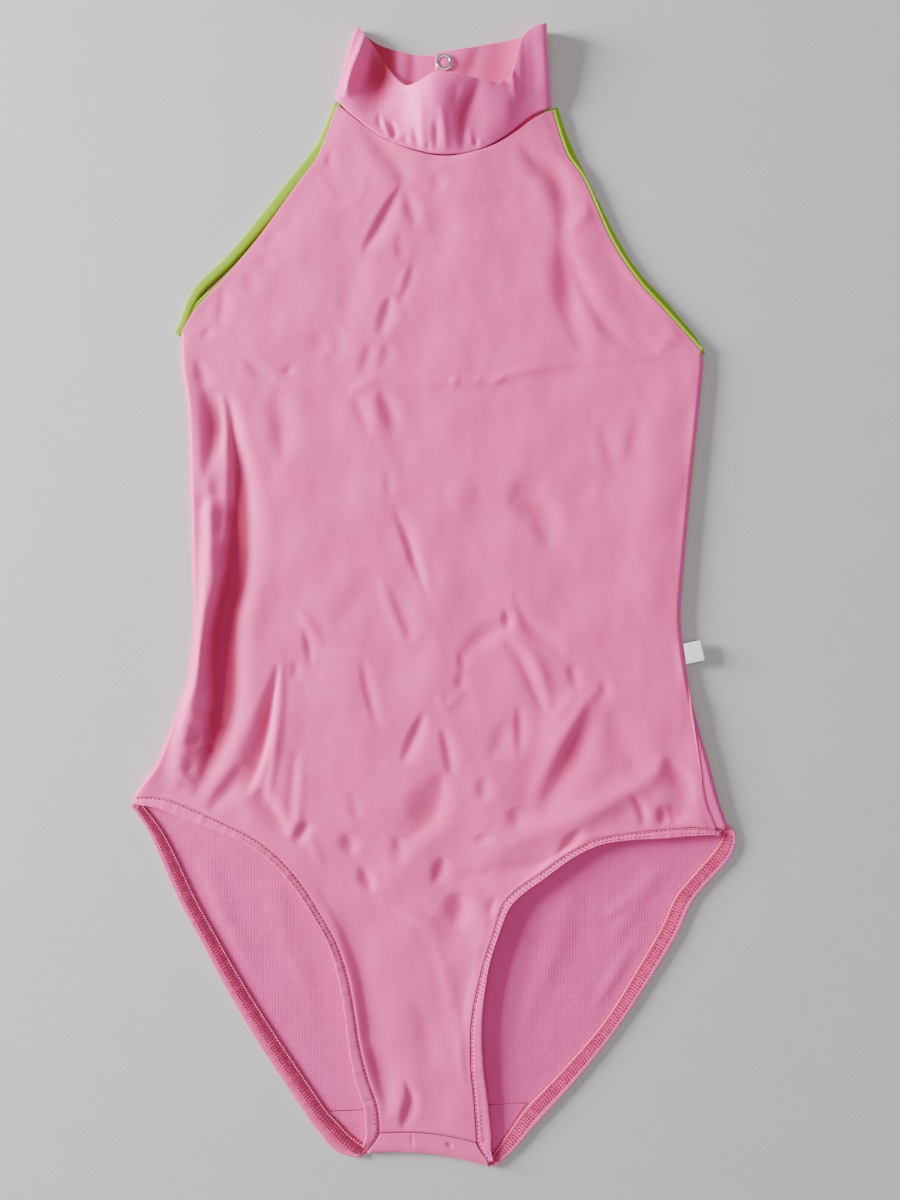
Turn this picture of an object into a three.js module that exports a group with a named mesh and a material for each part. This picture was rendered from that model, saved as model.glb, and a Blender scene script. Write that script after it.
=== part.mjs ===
// A sleeveless stretch leotard with a stand-up collar, laid flat on a table with its front side up.
// Millimetres. +X is to the right of the front, +Y runs up to the collar, +Z is up from the table.
// The origin is on the table under the middle of the garment.
import * as THREE from "three";

// Driving dimensions
const CLOTH = 1.1; // wall of one layer of body cloth
const COLLAR_CLOTH = 1.8; // wall of the doubled collar cloth
const SEAM = 0.3; // parting at every seam
const HEM = 1.9; // thickness of a turned leg hem
const BINDING = 1.6; // thickness of the armhole binding
const EDGE_ROUND = 1.7; // rounding of the front's cloth where it meets a hem or a binding
const EDGE_TURN = 60; // degrees at which that rounding starts
const LOWEST_FRONT = 2.7; // height of the front's outer face where it lies on the back
const HIGHEST_FRONT = 6; // height of the front's outer face on its highest body folds
const GUSSET_CLOTH = 1.2; // wall of the gusset
const FRONT_BINDING = 1.9; // width of the roll of binding on the front's armholes
const BACK_NECK_DEPTH = 12; // how far the back's upper edge dips at the nape
const COLLAR_SEAM = 0.5; // parting between the collar and the panels along its curved seam
const SNAP = { outer: 5, inner: 3, bevel: 0.5, height: 0.9, studRadius: 3.6, studHeight: 0.8, sides: 28 };
const STRIP_EDGE = 0.45; // share of a strip's thickness over which its outer side is rounded off
const SEAM_SIDE = 0.92; // height of a strip at its seam, as a share of its thickness
const SHOULDER = 0.94; // height of a strip at its shoulder, as a share of its thickness
const STRIP_HANG = 0.8; // how far a strip hangs under the edge that it is sewn to, in thicknesses
const FOLD_ENDS = 0.7; // how fast a fold fades at its two ends: less is faster
const FADE = { from: 0.008, to: 0.05 }; // shares of the width over which the folds fade in from an edge
const TAB = { height: 2.4, drop: 1.2, thickness: 1.2, steps: 4 };
const tabEdges = [
  { topX: 149, topY: -27.2, bottomX: 150.8, bottomY: -39.2 },
  { topX: 158.4, topY: -25, bottomX: 161.4, bottomY: -37 },
];

// Colours of the cloth and the fittings
const PINK = 0xe2839a;
const COLLAR_PINK = 0xe0718f;
const LIME = 0xa9c44c;
const TAPE_WHITE = 0xf0ecea;
const SNAP_GREY = 0xc3c6ca;

// Fineness of the grids
const ARMHOLE_ROWS = 10;
const SIDE_ROWS = 17;
const LEG_ROWS = 19;
const EDGE_STEPS = 3;
const COLLAR_STATIONS = 44;
const COLLAR_ROWS = 6;
const BACK_LEG_ROWS = 11;
const GUSSET_COLUMNS = 10;
const NECK_ROWS = 4; // rows over which a neckline's shape fades out

// Places of the columns between a panel's two edges, as shares of its width
const FRONT_COLUMNS = [
  0, 0.02, 0.045, 0.07, 0.095, 0.125, 0.165, 0.21, 0.26, 0.31, 0.36, 0.41, 0.46, 0.51, 0.56, 0.61, 0.66,
  0.71, 0.76, 0.81, 0.86, 0.91, 0.955, 1,
];
const BACK_COLUMNS = [0, 0.12, 0.25, 0.37, 0.5, 0.63, 0.75, 0.88, 1];

// Width of the back's margin where it ends flat on the table, at an armhole or a leg
const FLAT_MARGIN = 1;

// Places of the back's margin points, as shares of the way from its flat underside to its free edge
const MARGIN_SHARES = [1, 0.8, 0.6, 0.4, 0.2];

// Sections of the front from the neckline down to the underarm: the two armhole edges, how far the
// section sags between them, and the height of the cloth at its edges and at its middle
const armholeSections = [
  { leftX: -57.1, leftY: 293.3, rightX: 71.1, rightY: 290.3, sag: 28, rim: 4.6, crown: 5.9 },
  { leftX: -68.4, leftY: 264.2, rightX: 79.6, rightY: 265.0, sag: 19, rim: 4.1, crown: 5.7 },
  { leftX: -79.7, leftY: 248.7, rightX: 90.4, rightY: 248.7, sag: 15, rim: 4.0, crown: 5.3 },
  { leftX: -104.7, leftY: 214.2, rightX: 105.8, rightY: 214.2, sag: 9, rim: 4.0, crown: 5.1 },
  { leftX: -125.5, leftY: 189.5, rightX: 121.9, rightY: 189.5, sag: 5, rim: 4.1, crown: 5 },
  { leftX: -142.1, leftY: 171.4, rightX: 139.1, rightY: 170.2, sag: 2, rim: 4.4, crown: 5 },
  { leftX: -150.2, leftY: 157.4, rightX: 160.6, rightY: 146.0, sag: 0, rim: 4.8, crown: 5 },
];

// Sections down the side seams: the garment's outline, the radius of the rolls that the cloth makes
// there, how far the section sags, and the height of the cloth at its middle
const sideSections = [
  { leftX: -150.2, leftY: 157.4, rightX: 160.6, rightY: 146.0, radius: 2.5, sag: 0, crown: 5 },
  { leftX: -149.7, leftY: 138.5, rightX: 160.4, rightY: 134.9, radius: 2.8, sag: 0, crown: 4.9 },
  { leftX: -146.1, leftY: 112.2, rightX: 158.0, rightY: 112.2, radius: 2.9, sag: 0, crown: 4.7 },
  { leftX: -144.3, leftY: 58.6, rightX: 152.6, rightY: 58.6, radius: 2.9, sag: 0, crown: 4.5 },
  { leftX: -143.4, leftY: 21.6, rightX: 149.3, rightY: 21.6, radius: 2.9, sag: 0, crown: 4.5 },
  { leftX: -142.9, leftY: -13.6, rightX: 147.2, rightY: -13.6, radius: 2.9, sag: 0, crown: 4.5 },
  { leftX: -146.7, leftY: -48.2, rightX: 151.4, rightY: -48.2, radius: 2.9, sag: 0, crown: 4.6 },
  { leftX: -154.7, leftY: -72.6, rightX: 157.1, rightY: -72.6, radius: 2.9, sag: 0, crown: 4.7 },
  { leftX: -164.3, leftY: -97.6, rightX: 164.3, rightY: -97.6, radius: 2.9, sag: -1, crown: 4.7 },
  { leftX: -172.9, leftY: -110.2, rightX: 170.2, rightY: -119.7, radius: 2.7, sag: -6, crown: 4.6 },
  { leftX: -178.6, leftY: -118.4, rightX: 176.2, rightY: -137.4, radius: 2.4, sag: -12, crown: 4.6 },
];

// The right side seam beside those sections: how far it is turned round the roll, in degrees, and how
// far the back is wrapped over the top of the roll towards the front
const rightSeams = [
  { turn: 0, wrap: 0 },
  { turn: 0, wrap: 0 },
  { turn: 0, wrap: 0 },
  { turn: 0, wrap: 0 },
  { turn: 0, wrap: 0 },
  { turn: 0, wrap: 0 },
  { turn: 30, wrap: 0 },
  { turn: 80, wrap: 0.6 },
  { turn: 84, wrap: 3.9 },
  { turn: 84, wrap: 6.7 },
  { turn: 84, wrap: 6.2 },
];

// Sections of the front from the hips down to the crotch, between the seams of its two leg hems
const legSections = [
  { leftX: -178.6, leftY: -118.4, rightX: 167.4, rightY: -137.4, sag: -12, rim: 4.8, crown: 4.6 },
  { leftX: -160.6, leftY: -118.8, rightX: 153.4, rightY: -136.4, sag: -6, rim: 4.7, crown: 4.6 },
  { leftX: -144.5, leftY: -124.7, rightX: 135.0, rightY: -137.6, sag: -4, rim: 4.6, crown: 4.6 },
  { leftX: -125.5, leftY: -133.1, rightX: 115.9, rightY: -139.6, sag: -2, rim: 4.6, crown: 4.7 },
  { leftX: -106.5, leftY: -142.6, rightX: 97.5, rightY: -143.2, sag: 0, rim: 4.6, crown: 4.8 },
  { leftX: -91.0, leftY: -154.5, rightX: 80.3, rightY: -151.5, sag: 0, rim: 4.6, crown: 4.9 },
  { leftX: -77.3, leftY: -170.5, rightX: 64.2, rightY: -162.8, sag: 0, rim: 4.6, crown: 4.9 },
  { leftX: -66.0, leftY: -188.4, rightX: 49.3, rightY: -172.9, sag: 0, rim: 4.6, crown: 4.8 },
  { leftX: -57.1, leftY: -204.4, rightX: 41.0, rightY: -182.4, sag: 0, rim: 4.6, crown: 4.7 },
  { leftX: -50.6, leftY: -223.4, rightX: 35.7, rightY: -198.5, sag: 0, rim: 4.5, crown: 4.6 },
  { leftX: -46.4, leftY: -244.9, rightX: 29.1, rightY: -219.3, sag: 0, rim: 4.4, crown: 4.5 },
  { leftX: -43.4, leftY: -265.1, rightX: 22.9, rightY: -250.0, sag: 0, rim: 4.3, crown: 4.5 },
  { leftX: -38.7, leftY: -284.7, rightX: 22.3, rightY: -277.0, sag: 0, rim: 4.3, crown: 4.5 },
  { leftX: -32.7, leftY: -303.1, rightX: 24.3, rightY: -299.4, sag: 0, rim: 4.2, crown: 4.4 },
  { leftX: -31.6, leftY: -318.7, rightX: 26.0, rightY: -324.2, sag: -2.7, rim: 4.1, crown: 4.2 },
];

// The widths of the turned hems beside those sections
const frontHems = [
  { left: 4, right: 3.4 },
  { left: 7, right: 5.2 },
  { left: 7.6, right: 5.6 },
  { left: 6.2, right: 4.4 },
  { left: 5.4, right: 3.8 },
  { left: 5.4, right: 3.8 },
  { left: 5.3, right: 4.1 },
  { left: 4.8, right: 4.6 },
  { left: 5.2, right: 4.6 },
  { left: 6.1, right: 3.6 },
  { left: 6.4, right: 4 },
  { left: 7, right: 6.4 },
  { left: 7.9, right: 7.5 },
  { left: 8.4, right: 8.3 },
  { left: 8.9, right: 9.2 },
];

// The front neckline: how deep it lies under the line between its ends, across the neck
const neckline = [
  { across: 0, depth: 0 },
  { across: 0.07, depth: 6.2 },
  { across: 0.13, depth: 12.2 },
  { across: 0.21, depth: 18.8 },
  { across: 0.34, depth: 25.6 },
  { across: 0.48, depth: 29 },
  { across: 0.62, depth: 27 },
  { across: 0.74, depth: 21 },
  { across: 0.84, depth: 12.6 },
  { across: 0.92, depth: 5 },
  { across: 1, depth: 0 },
];

// Folds of the front: a soft trough, or a ridge where the depth is negative, along a line that bows
// sideways. The bow is positive to the right of the way from start to end.
const folds = [
  { startX: -125, startY: 127, endX: -121, endY: 20, bow: -4, reach: 7, depth: 1.5 },
  { startX: -120, startY: 40, endX: -128, endY: -70, bow: -1, reach: 8, depth: 1.7 },
  { startX: -127, startY: -52, endX: -140, endY: -121, bow: -1, reach: 6, depth: 1.5 },
  { startX: -139, startY: 142, endX: -135, endY: 80, bow: -4, reach: 5, depth: 1.0 },
  { startX: -91, startY: -38, endX: -107, endY: -114, bow: 3, reach: 7, depth: 1.5 },
  { startX: -84, startY: -40, endX: -91, endY: -140, bow: 0, reach: 6, depth: -0.8 },
  { startX: 66, startY: 256, endX: 84, endY: 167, bow: -5, reach: 8, depth: 1.4 },
  { startX: 83, startY: 202, endX: 108, endY: 155, bow: 0, reach: 6, depth: 1.0 },
  { startX: 48, startY: 65, endX: 69, endY: 33, bow: 2, reach: 7, depth: 1.4 },
  { startX: -22, startY: 52, endX: -5, endY: 2, bow: 0, reach: 6, depth: 1.0 },
  { startX: -3, startY: -64, endX: -22, endY: -99, bow: 0, reach: 5, depth: 0.9 },
  { startX: 6, startY: -100, endX: -22, endY: -155, bow: -2, reach: 7, depth: 1.4 },
  { startX: 95, startY: -62, endX: 70, endY: -122, bow: -3, reach: 7, depth: 1.3 },
  { startX: 46, startY: -15, endX: 17, endY: -34, bow: 0, reach: 5, depth: 1.0 },
  { startX: 46, startY: 2, endX: 79, endY: -37, bow: 2, reach: 5, depth: 1.0 },
  { startX: 84, startY: -54, endX: 60, endY: -95, bow: 0, reach: 6, depth: -0.8 },
  { startX: 132, startY: -84, endX: 150, endY: -116, bow: 0, reach: 9, depth: 1.3 },
  { startX: 130, startY: -104, endX: 20, endY: -152, bow: -4, reach: 8, depth: -0.8 },
  { startX: -114, startY: -98, endX: -128, endY: -124, bow: 0, reach: 5, depth: 1.2 },
  { startX: -97, startY: -120, endX: -84, endY: -141, bow: 0, reach: 5, depth: 1.2 },
  { startX: -15, startY: -284, endX: -16, endY: -314, bow: 1, reach: 5, depth: 0.8 },
  { startX: -42, startY: 204, endX: -58, endY: 168, bow: 0, reach: 8, depth: 0.9 },
  { startX: -20, startY: 248, endX: -41, endY: 208, bow: 0, reach: 8, depth: 0.8 },
  { startX: -92, startY: 120, endX: -90, endY: 88, bow: 0, reach: 8, depth: 0.8 },
  { startX: -146, startY: 123, endX: 138, endY: 142, bow: 4, reach: 6, depth: 0.4 },
  { startX: -92, startY: -35, endX: 104, endY: -42, bow: -4, reach: 6, depth: 0.4 },
];

// Edges of the back along the armholes, which the front covers, from the neck down to the underarm
const backArmholes = [
  { leftX: -53.6, leftY: 294.5, rightX: 66.4, rightY: 291.5 },
  { leftX: -61.8, leftY: 268.0, rightX: 73.0, rightY: 270.5 },
  { leftX: -79.2, leftY: 247.2, rightX: 86.4, rightY: 249.0 },
  { leftX: -98.5, leftY: 223.0, rightX: 103.4, rightY: 216.4 },
  { leftX: -118.8, leftY: 200.0, rightX: 117.6, rightY: 193.4 },
  { leftX: -138.4, leftY: 181.0, rightX: 136.8, rightY: 173.4 },
  { leftX: -146.6, leftY: 163.4, rightX: 156.8, rightY: 153.2 },
];

// The widths of the binding that shows outside those edges
const backBindings = [
  { left: 5.6, right: 5.2 },
  { left: 8.4, right: 6.8 },
  { left: 7.2, right: 7.4 },
  { left: 7, right: 7.2 },
  { left: 6.2, right: 7 },
  { left: 6, right: 6.2 },
  { left: 5, right: 4.4 },
];

// Edges of the back along the leg hems, from the hips down to the seam of the gusset
const backLegs = [
  { leftX: -176.2, leftY: -119.8, rightX: 173.6, rightY: -141.0 },
  { leftX: -164.4, leftY: -134.6, rightX: 168.6, rightY: -150.0 },
  { leftX: -155.6, leftY: -149.6, rightX: 152.9, rightY: -168.2 },
  { leftX: -142.0, leftY: -178.4, rightX: 144.2, rightY: -179.0 },
  { leftX: -129.4, leftY: -201.4, rightX: 136.4, rightY: -196.4 },
  { leftX: -116.8, leftY: -223.7, rightX: 123.0, rightY: -219.4 },
  { leftX: -98.4, leftY: -253.6, rightX: 103.0, rightY: -251.6 },
  { leftX: -76.7, leftY: -286.4, rightX: 79.2, rightY: -279.8 },
  { leftX: -62.3, leftY: -307.6, rightX: 57.4, rightY: -302.6 },
];

// The widths of the turned hems outside those edges
const backHems = [
  { left: 6, right: 8.2 },
  { left: 7.4, right: 10 },
  { left: 9, right: 9.4 },
  { left: 9.8, right: 10.6 },
  { left: 9.8, right: 10.4 },
  { left: 10.6, right: 10 },
  { left: 11.6, right: 8.8 },
  { left: 11.8, right: 10 },
  { left: 11.9, right: 10.9 },
];

// Sections of the gusset from its seam on the front, over the fold at the crotch, to its seam on the
// back: its two edges, how far its middle stands above them, and the height of its outer face
const gussetSections = [
  { leftX: -31.6, leftY: -319.0, rightX: 26.0, rightY: -324.5, rise: 2.7, height: 4.2 },
  { leftX: -34.4, leftY: -323.4, rightX: 29.2, rightY: -330.0, rise: 2.9, height: 4.2 },
  { leftX: -37.4, leftY: -327.4, rightX: 32.4, rightY: -334.2, rise: 3.4, height: 4.2 },
  { leftX: -38.8, leftY: -330.2, rightX: 33.8, rightY: -338.4, rise: 3.6, height: 3.6 },
  { leftX: -39.4, leftY: -331.2, rightX: 34.4, rightY: -339.2, rise: 3.6, height: 2.1 },
  { leftX: -38.8, leftY: -330.2, rightX: 33.8, rightY: -338.4, rise: 3.6, height: 0.6 },
  { leftX: -40.6, leftY: -327.4, rightX: 34.8, rightY: -333.6, rise: 3.4, height: 0 },
  { leftX: -50.4, leftY: -320.0, rightX: 43.4, rightY: -321.6, rise: 2.6, height: 0 },
  { leftX: -62.0, leftY: -308.0, rightX: 57.0, rightY: -303.0, rise: 0, height: 0 },
];

// The widths of the hems beside the gusset's sections
const gussetHems = [
  { left: 8.9, right: 9.3 },
  { left: 6.9, right: 6.8 },
  { left: 5.3, right: 3.8 },
  { left: 5, right: 3.6 },
  { left: 5, right: 3.6 },
  { left: 7, right: 4.4 },
  { left: 8, right: 6 },
  { left: 13, right: 9 },
  { left: 11.9, right: 10.9 },
];

// The gusset's first and last sections whose edges carry the hems, on its top and on its underside
const GUSSET_TOP = { first: 1, end: 3 };
const GUSSET_UNDERSIDE = { first: 5, end: 8 };

// The collar's outer face round the neck, from the covered end at the centre back, round the left side,
// across the front and back to the overlapping end: its seam, its top edge, and how far it bows out
const collarSections = [
  { seamX: 15.5, seamY: 281.4, seamZ: 0, topX: 16, topY: 324.8, topZ: 0, bow: 0 },
  { seamX: 3, seamY: 281, seamZ: 0, topX: 2, topY: 323.8, topZ: 0, bow: 0 },
  { seamX: -15, seamY: 282.6, seamZ: 0, topX: -13.8, topY: 325.4, topZ: 0, bow: 0 },
  { seamX: -34, seamY: 287.2, seamZ: 0, topX: -31, topY: 330.6, topZ: 0, bow: 0 },
  { seamX: -48, seamY: 293.8, seamZ: 0, topX: -40.5, topY: 336.4, topZ: 0, bow: 0 },
  { seamX: -55.4, seamY: 298, seamZ: 0.7, topX: -44.8, topY: 339.4, topZ: 0.7, bow: 0 },
  { seamX: -58.4, seamY: 298.4, seamZ: 3, topX: -46.4, topY: 340.2, topZ: 3, bow: 0 },
  { seamX: -56.6, seamY: 295.4, seamZ: 5.3, topX: -45.2, topY: 338.6, topZ: 6.2, bow: 1.6 },
  { seamX: -49.6, seamY: 288.4, seamZ: 5.6, topX: -40.6, topY: 333.4, topZ: 7, bow: 0 },
  { seamX: -40, seamY: 280.4, seamZ: 5.9, topX: -34, topY: 326, topZ: 7.6, bow: -1.2 },
  { seamX: -30, seamY: 273.6, seamZ: 6.1, topX: -27.6, topY: 316.4, topZ: 9.6, bow: -0.6 },
  { seamX: -20, seamY: 269.2, seamZ: 6.3, topX: -17.5, topY: 303.8, topZ: 12.6, bow: 1 },
  { seamX: -10, seamY: 265.6, seamZ: 6.4, topX: -9.4, topY: 301.8, topZ: 16, bow: 1.4 },
  { seamX: 0, seamY: 263.6, seamZ: 6.4, topX: 0, topY: 304.2, topZ: 19, bow: 2 },
  { seamX: 11, seamY: 263.4, seamZ: 6.4, topX: 11, topY: 304, topZ: 19.6, bow: 0.6 },
  { seamX: 22, seamY: 264.8, seamZ: 6.4, topX: 24, topY: 302.4, topZ: 17, bow: -1.4 },
  { seamX: 32, seamY: 268.2, seamZ: 6.3, topX: 35.4, topY: 301.4, topZ: 14.8, bow: 0.6 },
  { seamX: 43, seamY: 274.6, seamZ: 6.2, topX: 45.6, topY: 306, topZ: 14, bow: 2.4 },
  { seamX: 51.4, seamY: 281.2, seamZ: 6, topX: 49.4, topY: 322, topZ: 12.4, bow: 1.6 },
  { seamX: 60, seamY: 287.4, seamZ: 5.6, topX: 57.3, topY: 331.2, topZ: 9, bow: 0 },
  { seamX: 67.6, seamY: 290.8, seamZ: 5.3, topX: 65, topY: 337.4, topZ: 6, bow: 0.4 },
  { seamX: 70.4, seamY: 293.4, seamZ: 2.9, topX: 67.2, topY: 339.4, topZ: 2.9, bow: 0 },
  { seamX: 67, seamY: 293.2, seamZ: 0.6, topX: 64.8, topY: 338.6, topZ: 0.6, bow: 0 },
  { seamX: 58, seamY: 289.8, seamZ: 0, topX: 57, topY: 336.6, topZ: 0, bow: 0 },
  { seamX: 42, seamY: 285.4, seamZ: 0.2, topX: 41.4, topY: 332.6, topZ: 0.2, bow: 0 },
  { seamX: 28, seamY: 282.6, seamZ: 1.8, topX: 28, topY: 329, topZ: 2.4, bow: 0 },
  { seamX: 17, seamY: 281.4, seamZ: 2.5, topX: 17, topY: 326.4, topZ: 3.7, bow: 0 },
  { seamX: 1.4, seamY: 281, seamZ: 2.6, topX: 1.4, topY: 323.9, topZ: 3.8, bow: 0 },
];

// Places in that table where the collar turns from the back to the front and to the back again
const COLLAR_TURNS = { left: 6, right: 21 };

// The snap's place on the overlapping end of the collar, as shares of the collar's way round and height
const SNAP_STATION = 26.6;
const SNAP_UP = 0.85;

// The step over which the collar's slope is taken there, in the same shares
const SNAP_REACH = 0.1;

const rad = THREE.MathUtils.degToRad;
const lerp = THREE.MathUtils.lerp;

// A smooth curve through one column of a table, at place t counted in rows.
function alongTable(rows, column, t) {
  const last = rows.length - 1;
  const i = Math.min(Math.floor(t), last - 1);
  const f = t - i;
  const at = (k) => rows[Math.min(Math.max(k, 0), last)][column];
  const a = at(i - 1);
  const b = at(i);
  const c = at(i + 1);
  const d = at(i + 2);
  return b + 0.5 * f * (c - a + f * (2 * a - 5 * b + 4 * c - d + f * (3 * (b - c) + d - a)));
}

// All columns of a table at place t.
function sectionAt(rows, t) {
  return Object.fromEntries(Object.keys(rows[0]).map((column) => [column, alongTable(rows, column, t)]));
}

// Evenly spaced sections of a table, both ends among them.
function sectionsOf(rows, count) {
  const last = rows.length - 1;
  return Array.from({ length: count + 1 }, (_, k) => sectionAt(rows, (k * last) / count));
}

// The depth of the neckline at a share of the way across it.
function necklineDepth(across) {
  const beyond = neckline.findIndex((row) => row.across >= across);
  const i = Math.max(beyond, 1) - 1;
  const f = (across - neckline[i].across) / (neckline[i + 1].across - neckline[i].across);
  return alongTable(neckline, "depth", i + f);
}

// The height that the folds add at a point of the front.
function foldHeight(x, y) {
  let height = 0;
  for (const fold of folds) {
    const dx = fold.endX - fold.startX;
    const dy = fold.endY - fold.startY;
    const length = Math.hypot(dx, dy);
    const t = ((x - fold.startX) * dx + (y - fold.startY) * dy) / length ** 2;
    if (t <= 0 || t >= 1) continue;
    const aside = ((y - fold.startY) * dx - (x - fold.startX) * dy) / length;
    const off = (aside + fold.bow * 4 * t * (1 - t)) / fold.reach;
    height -= fold.depth * Math.exp(-(off ** 2)) * Math.sin(Math.PI * t) ** FOLD_ENDS;
  }
  return height;
}

// The way along a list of points at place j, by differences that stay true at both ends.
function wayAt(points, j) {
  const last = points.length - 1;
  const way = new THREE.Vector3();
  if (j > 0 && j < last) return way.subVectors(points[j + 1], points[j - 1]);
  const [a, b, c] = j === 0 ? [0, 1, 2] : [last, last - 1, last - 2];
  way.addScaledVector(points[a], -3).addScaledVector(points[b], 4).sub(points[c]);
  return j === 0 ? way : way.negate();
}

// A closed wall of the given thickness behind a grid of points on its outer face. The outer face looks
// along the cross product of the way down the rows and the way along a row.
function wallBehind(grid, thickness) {
  const rows = grid.length;
  const columns = grid[0].length;
  const lines = grid[0].map((_, j) => grid.map((row) => row[j]));
  const inner = grid.map((row, i) =>
    row.map((point, j) => {
      const facing = wayAt(lines[j], i).cross(wayAt(row, j)).normalize();
      return facing.multiplyScalar(-thickness).add(point);
    }),
  );
  const points = [...grid.flat(), ...inner.flat()];
  const outerAt = (i, j) => i * columns + j;
  const innerAt = (i, j) => rows * columns + i * columns + j;
  const faces = [];
  const quad = (a, b, c, d) => faces.push(a, b, c, a, c, d);
  for (let i = 0; i < rows - 1; i++) {
    for (let j = 0; j < columns - 1; j++) {
      quad(outerAt(i, j), outerAt(i + 1, j), outerAt(i + 1, j + 1), outerAt(i, j + 1));
      quad(innerAt(i, j), innerAt(i, j + 1), innerAt(i + 1, j + 1), innerAt(i + 1, j));
    }
    quad(outerAt(i, 0), innerAt(i, 0), innerAt(i + 1, 0), outerAt(i + 1, 0));
    const end = columns - 1;
    quad(outerAt(i, end), outerAt(i + 1, end), innerAt(i + 1, end), innerAt(i, end));
  }
  for (let j = 0; j < columns - 1; j++) {
    quad(outerAt(0, j), outerAt(0, j + 1), innerAt(0, j + 1), innerAt(0, j));
    const end = rows - 1;
    quad(outerAt(end, j), innerAt(end, j), innerAt(end, j + 1), outerAt(end, j + 1));
  }
  return solidFrom(points, faces);
}

// A buffer geometry from points and triangle corners.
function solidFrom(points, faces) {
  const geometry = new THREE.BufferGeometry().setFromPoints(points);
  geometry.setIndex(faces);
  geometry.computeVertexNormals();
  return geometry;
}

// A strip swept along stations. Each station has a point on the edge that it is sewn to, the level way
// out from that edge, a width, and the height of its underside there. Its outer side is rounded.
function stripAlong(stations, thickness) {
  const ring = ({ point, out, width, base }) => {
    const place = (aside, up) =>
      new THREE.Vector3(point.x + out.x * aside, point.y + out.y * aside, base + up);
    const shoulder = Math.max(width - STRIP_EDGE * thickness, lerp(SEAM, width, 0.5));
    return [
      place(SEAM, 0),
      place(SEAM, thickness * SEAM_SIDE),
      place(lerp(SEAM, shoulder, 0.5), thickness),
      place(shoulder, thickness * SHOULDER),
      place(width, thickness * 0.5),
      place(shoulder, 0),
    ];
  };
  const rings = stations.map(ring);
  const corners = rings[0].length;
  const faces = [];
  for (let i = 0; i < rings.length - 1; i++) {
    for (let k = 0; k < corners; k++) {
      const a = i * corners + k;
      const b = i * corners + ((k + 1) % corners);
      faces.push(a, b, b + corners, a, b + corners, a + corners);
    }
  }
  const last = (rings.length - 1) * corners;
  for (let k = 1; k < corners - 1; k++) {
    faces.push(0, k + 1, k, last, last + k, last + k + 1);
  }
  return solidFrom(rings.flat(), faces);
}

// Stations of a strip along a panel's edge: side is 1 where the strip lies to the right of the way
// along the edge, and -1 where it lies to the left.
function stationsAlong(edge, side, widths, baseAt) {
  return edge.map((point, k) => {
    const before = edge[Math.max(k - 1, 0)];
    const after = edge[Math.min(k + 1, edge.length - 1)];
    const way = new THREE.Vector2(after.x - before.x, after.y - before.y).normalize();
    const out = new THREE.Vector2(way.y, -way.x).multiplyScalar(side);
    return { point, out, width: widths[k], base: baseAt(point) };
  });
}

// Turns a strip inside out, for strips swept the other way round.
function flipped(geometry) {
  const index = geometry.index.array;
  for (let k = 0; k < index.length; k += 3) {
    [index[k + 1], index[k + 2]] = [index[k + 2], index[k + 1]];
  }
  return geometry;
}

// The sections down the side seams, with the turn and wrap of the right seam.
const seamSections = sideSections.map((row, k) => ({ ...row, ...rightSeams[k] }));

// The rows of the front. Each holds its two edges, the rounding of the cloth there, its sag and heights.
const frontRows = [
  ...sectionsOf(armholeSections, ARMHOLE_ROWS)
    .slice(0, -1)
    .map((row) => ({ ...row, roll: EDGE_ROUND, leftTurn: EDGE_TURN, rightTurn: EDGE_TURN })),
  ...sectionsOf(seamSections, SIDE_ROWS).map((row) => ({
    ...row,
    rightX: row.rightX - row.radius * (1 - Math.cos(rad(row.turn))) - Math.max(row.wrap, 0),
    rim: 2 * row.radius,
    roll: row.radius,
    leftTurn: 0,
    rightTurn: row.turn,
  })),
  ...sectionsOf(legSections, LEG_ROWS)
    .slice(1)
    .map((row) => ({ ...row, roll: EDGE_ROUND, leftTurn: EDGE_TURN, rightTurn: EDGE_TURN })),
];

// The depth of the neckline or of a section's sag, across a front row. The first rows keep the shape of
// the neckline, and lower ones have an even bow.
function frontSag(row, k, across) {
  const even = row.sag * 4 * across * (1 - across);
  return lerp(necklineDepth(across), even, Math.min(k / NECK_ROWS, 1));
}

// The height of the front's outer face on a row, at a share of its width.
function frontLevel(row, x, y, share) {
  const middle = 1 - (1 - 4 * share * (1 - share)) ** 2;
  const fade = THREE.MathUtils.smoothstep(Math.min(share, 1 - share), FADE.from, FADE.to);
  const level = lerp(row.rim, row.crown, middle) + fade * foldHeight(x, y);
  return THREE.MathUtils.clamp(level, LOWEST_FRONT, Math.max(HIGHEST_FRONT, row.crown));
}

// A point on the front's outer face at x along its row k, dropped by the turn of its edge rounding.
function frontPoint(row, k, x, turn) {
  const share = (x - row.leftX) / (row.rightX - row.leftX);
  const y = lerp(row.leftY, row.rightY, share) - frontSag(row, k, share);
  return new THREE.Vector3(x, y, frontLevel(row, x, y, share) - row.roll * (1 - Math.sin(rad(turn))));
}

// A row of the front: round the left edge, across, and round the right edge.
function frontRow(row, k) {
  const insetAt = (start, turn) => row.roll * (Math.cos(rad(start)) - Math.cos(rad(turn)));
  const turnsFrom = (start) =>
    Array.from({ length: EDGE_STEPS }, (_, n) => lerp(start, 90, n / EDGE_STEPS));
  const left = turnsFrom(row.leftTurn).map((turn) =>
    frontPoint(row, k, row.leftX + insetAt(row.leftTurn, turn), turn),
  );
  const right = turnsFrom(row.rightTurn).map((turn) =>
    frontPoint(row, k, row.rightX - insetAt(row.rightTurn, turn), turn),
  );
  const flatLeft = row.leftX + insetAt(row.leftTurn, 90);
  const flatRight = row.rightX - insetAt(row.rightTurn, 90);
  const flat = FRONT_COLUMNS.map((across) => frontPoint(row, k, lerp(flatLeft, flatRight, across), 90));
  return [...left, ...flat, ...right.reverse()];
}

const frontGrid = frontRows.map(frontRow);

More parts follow.
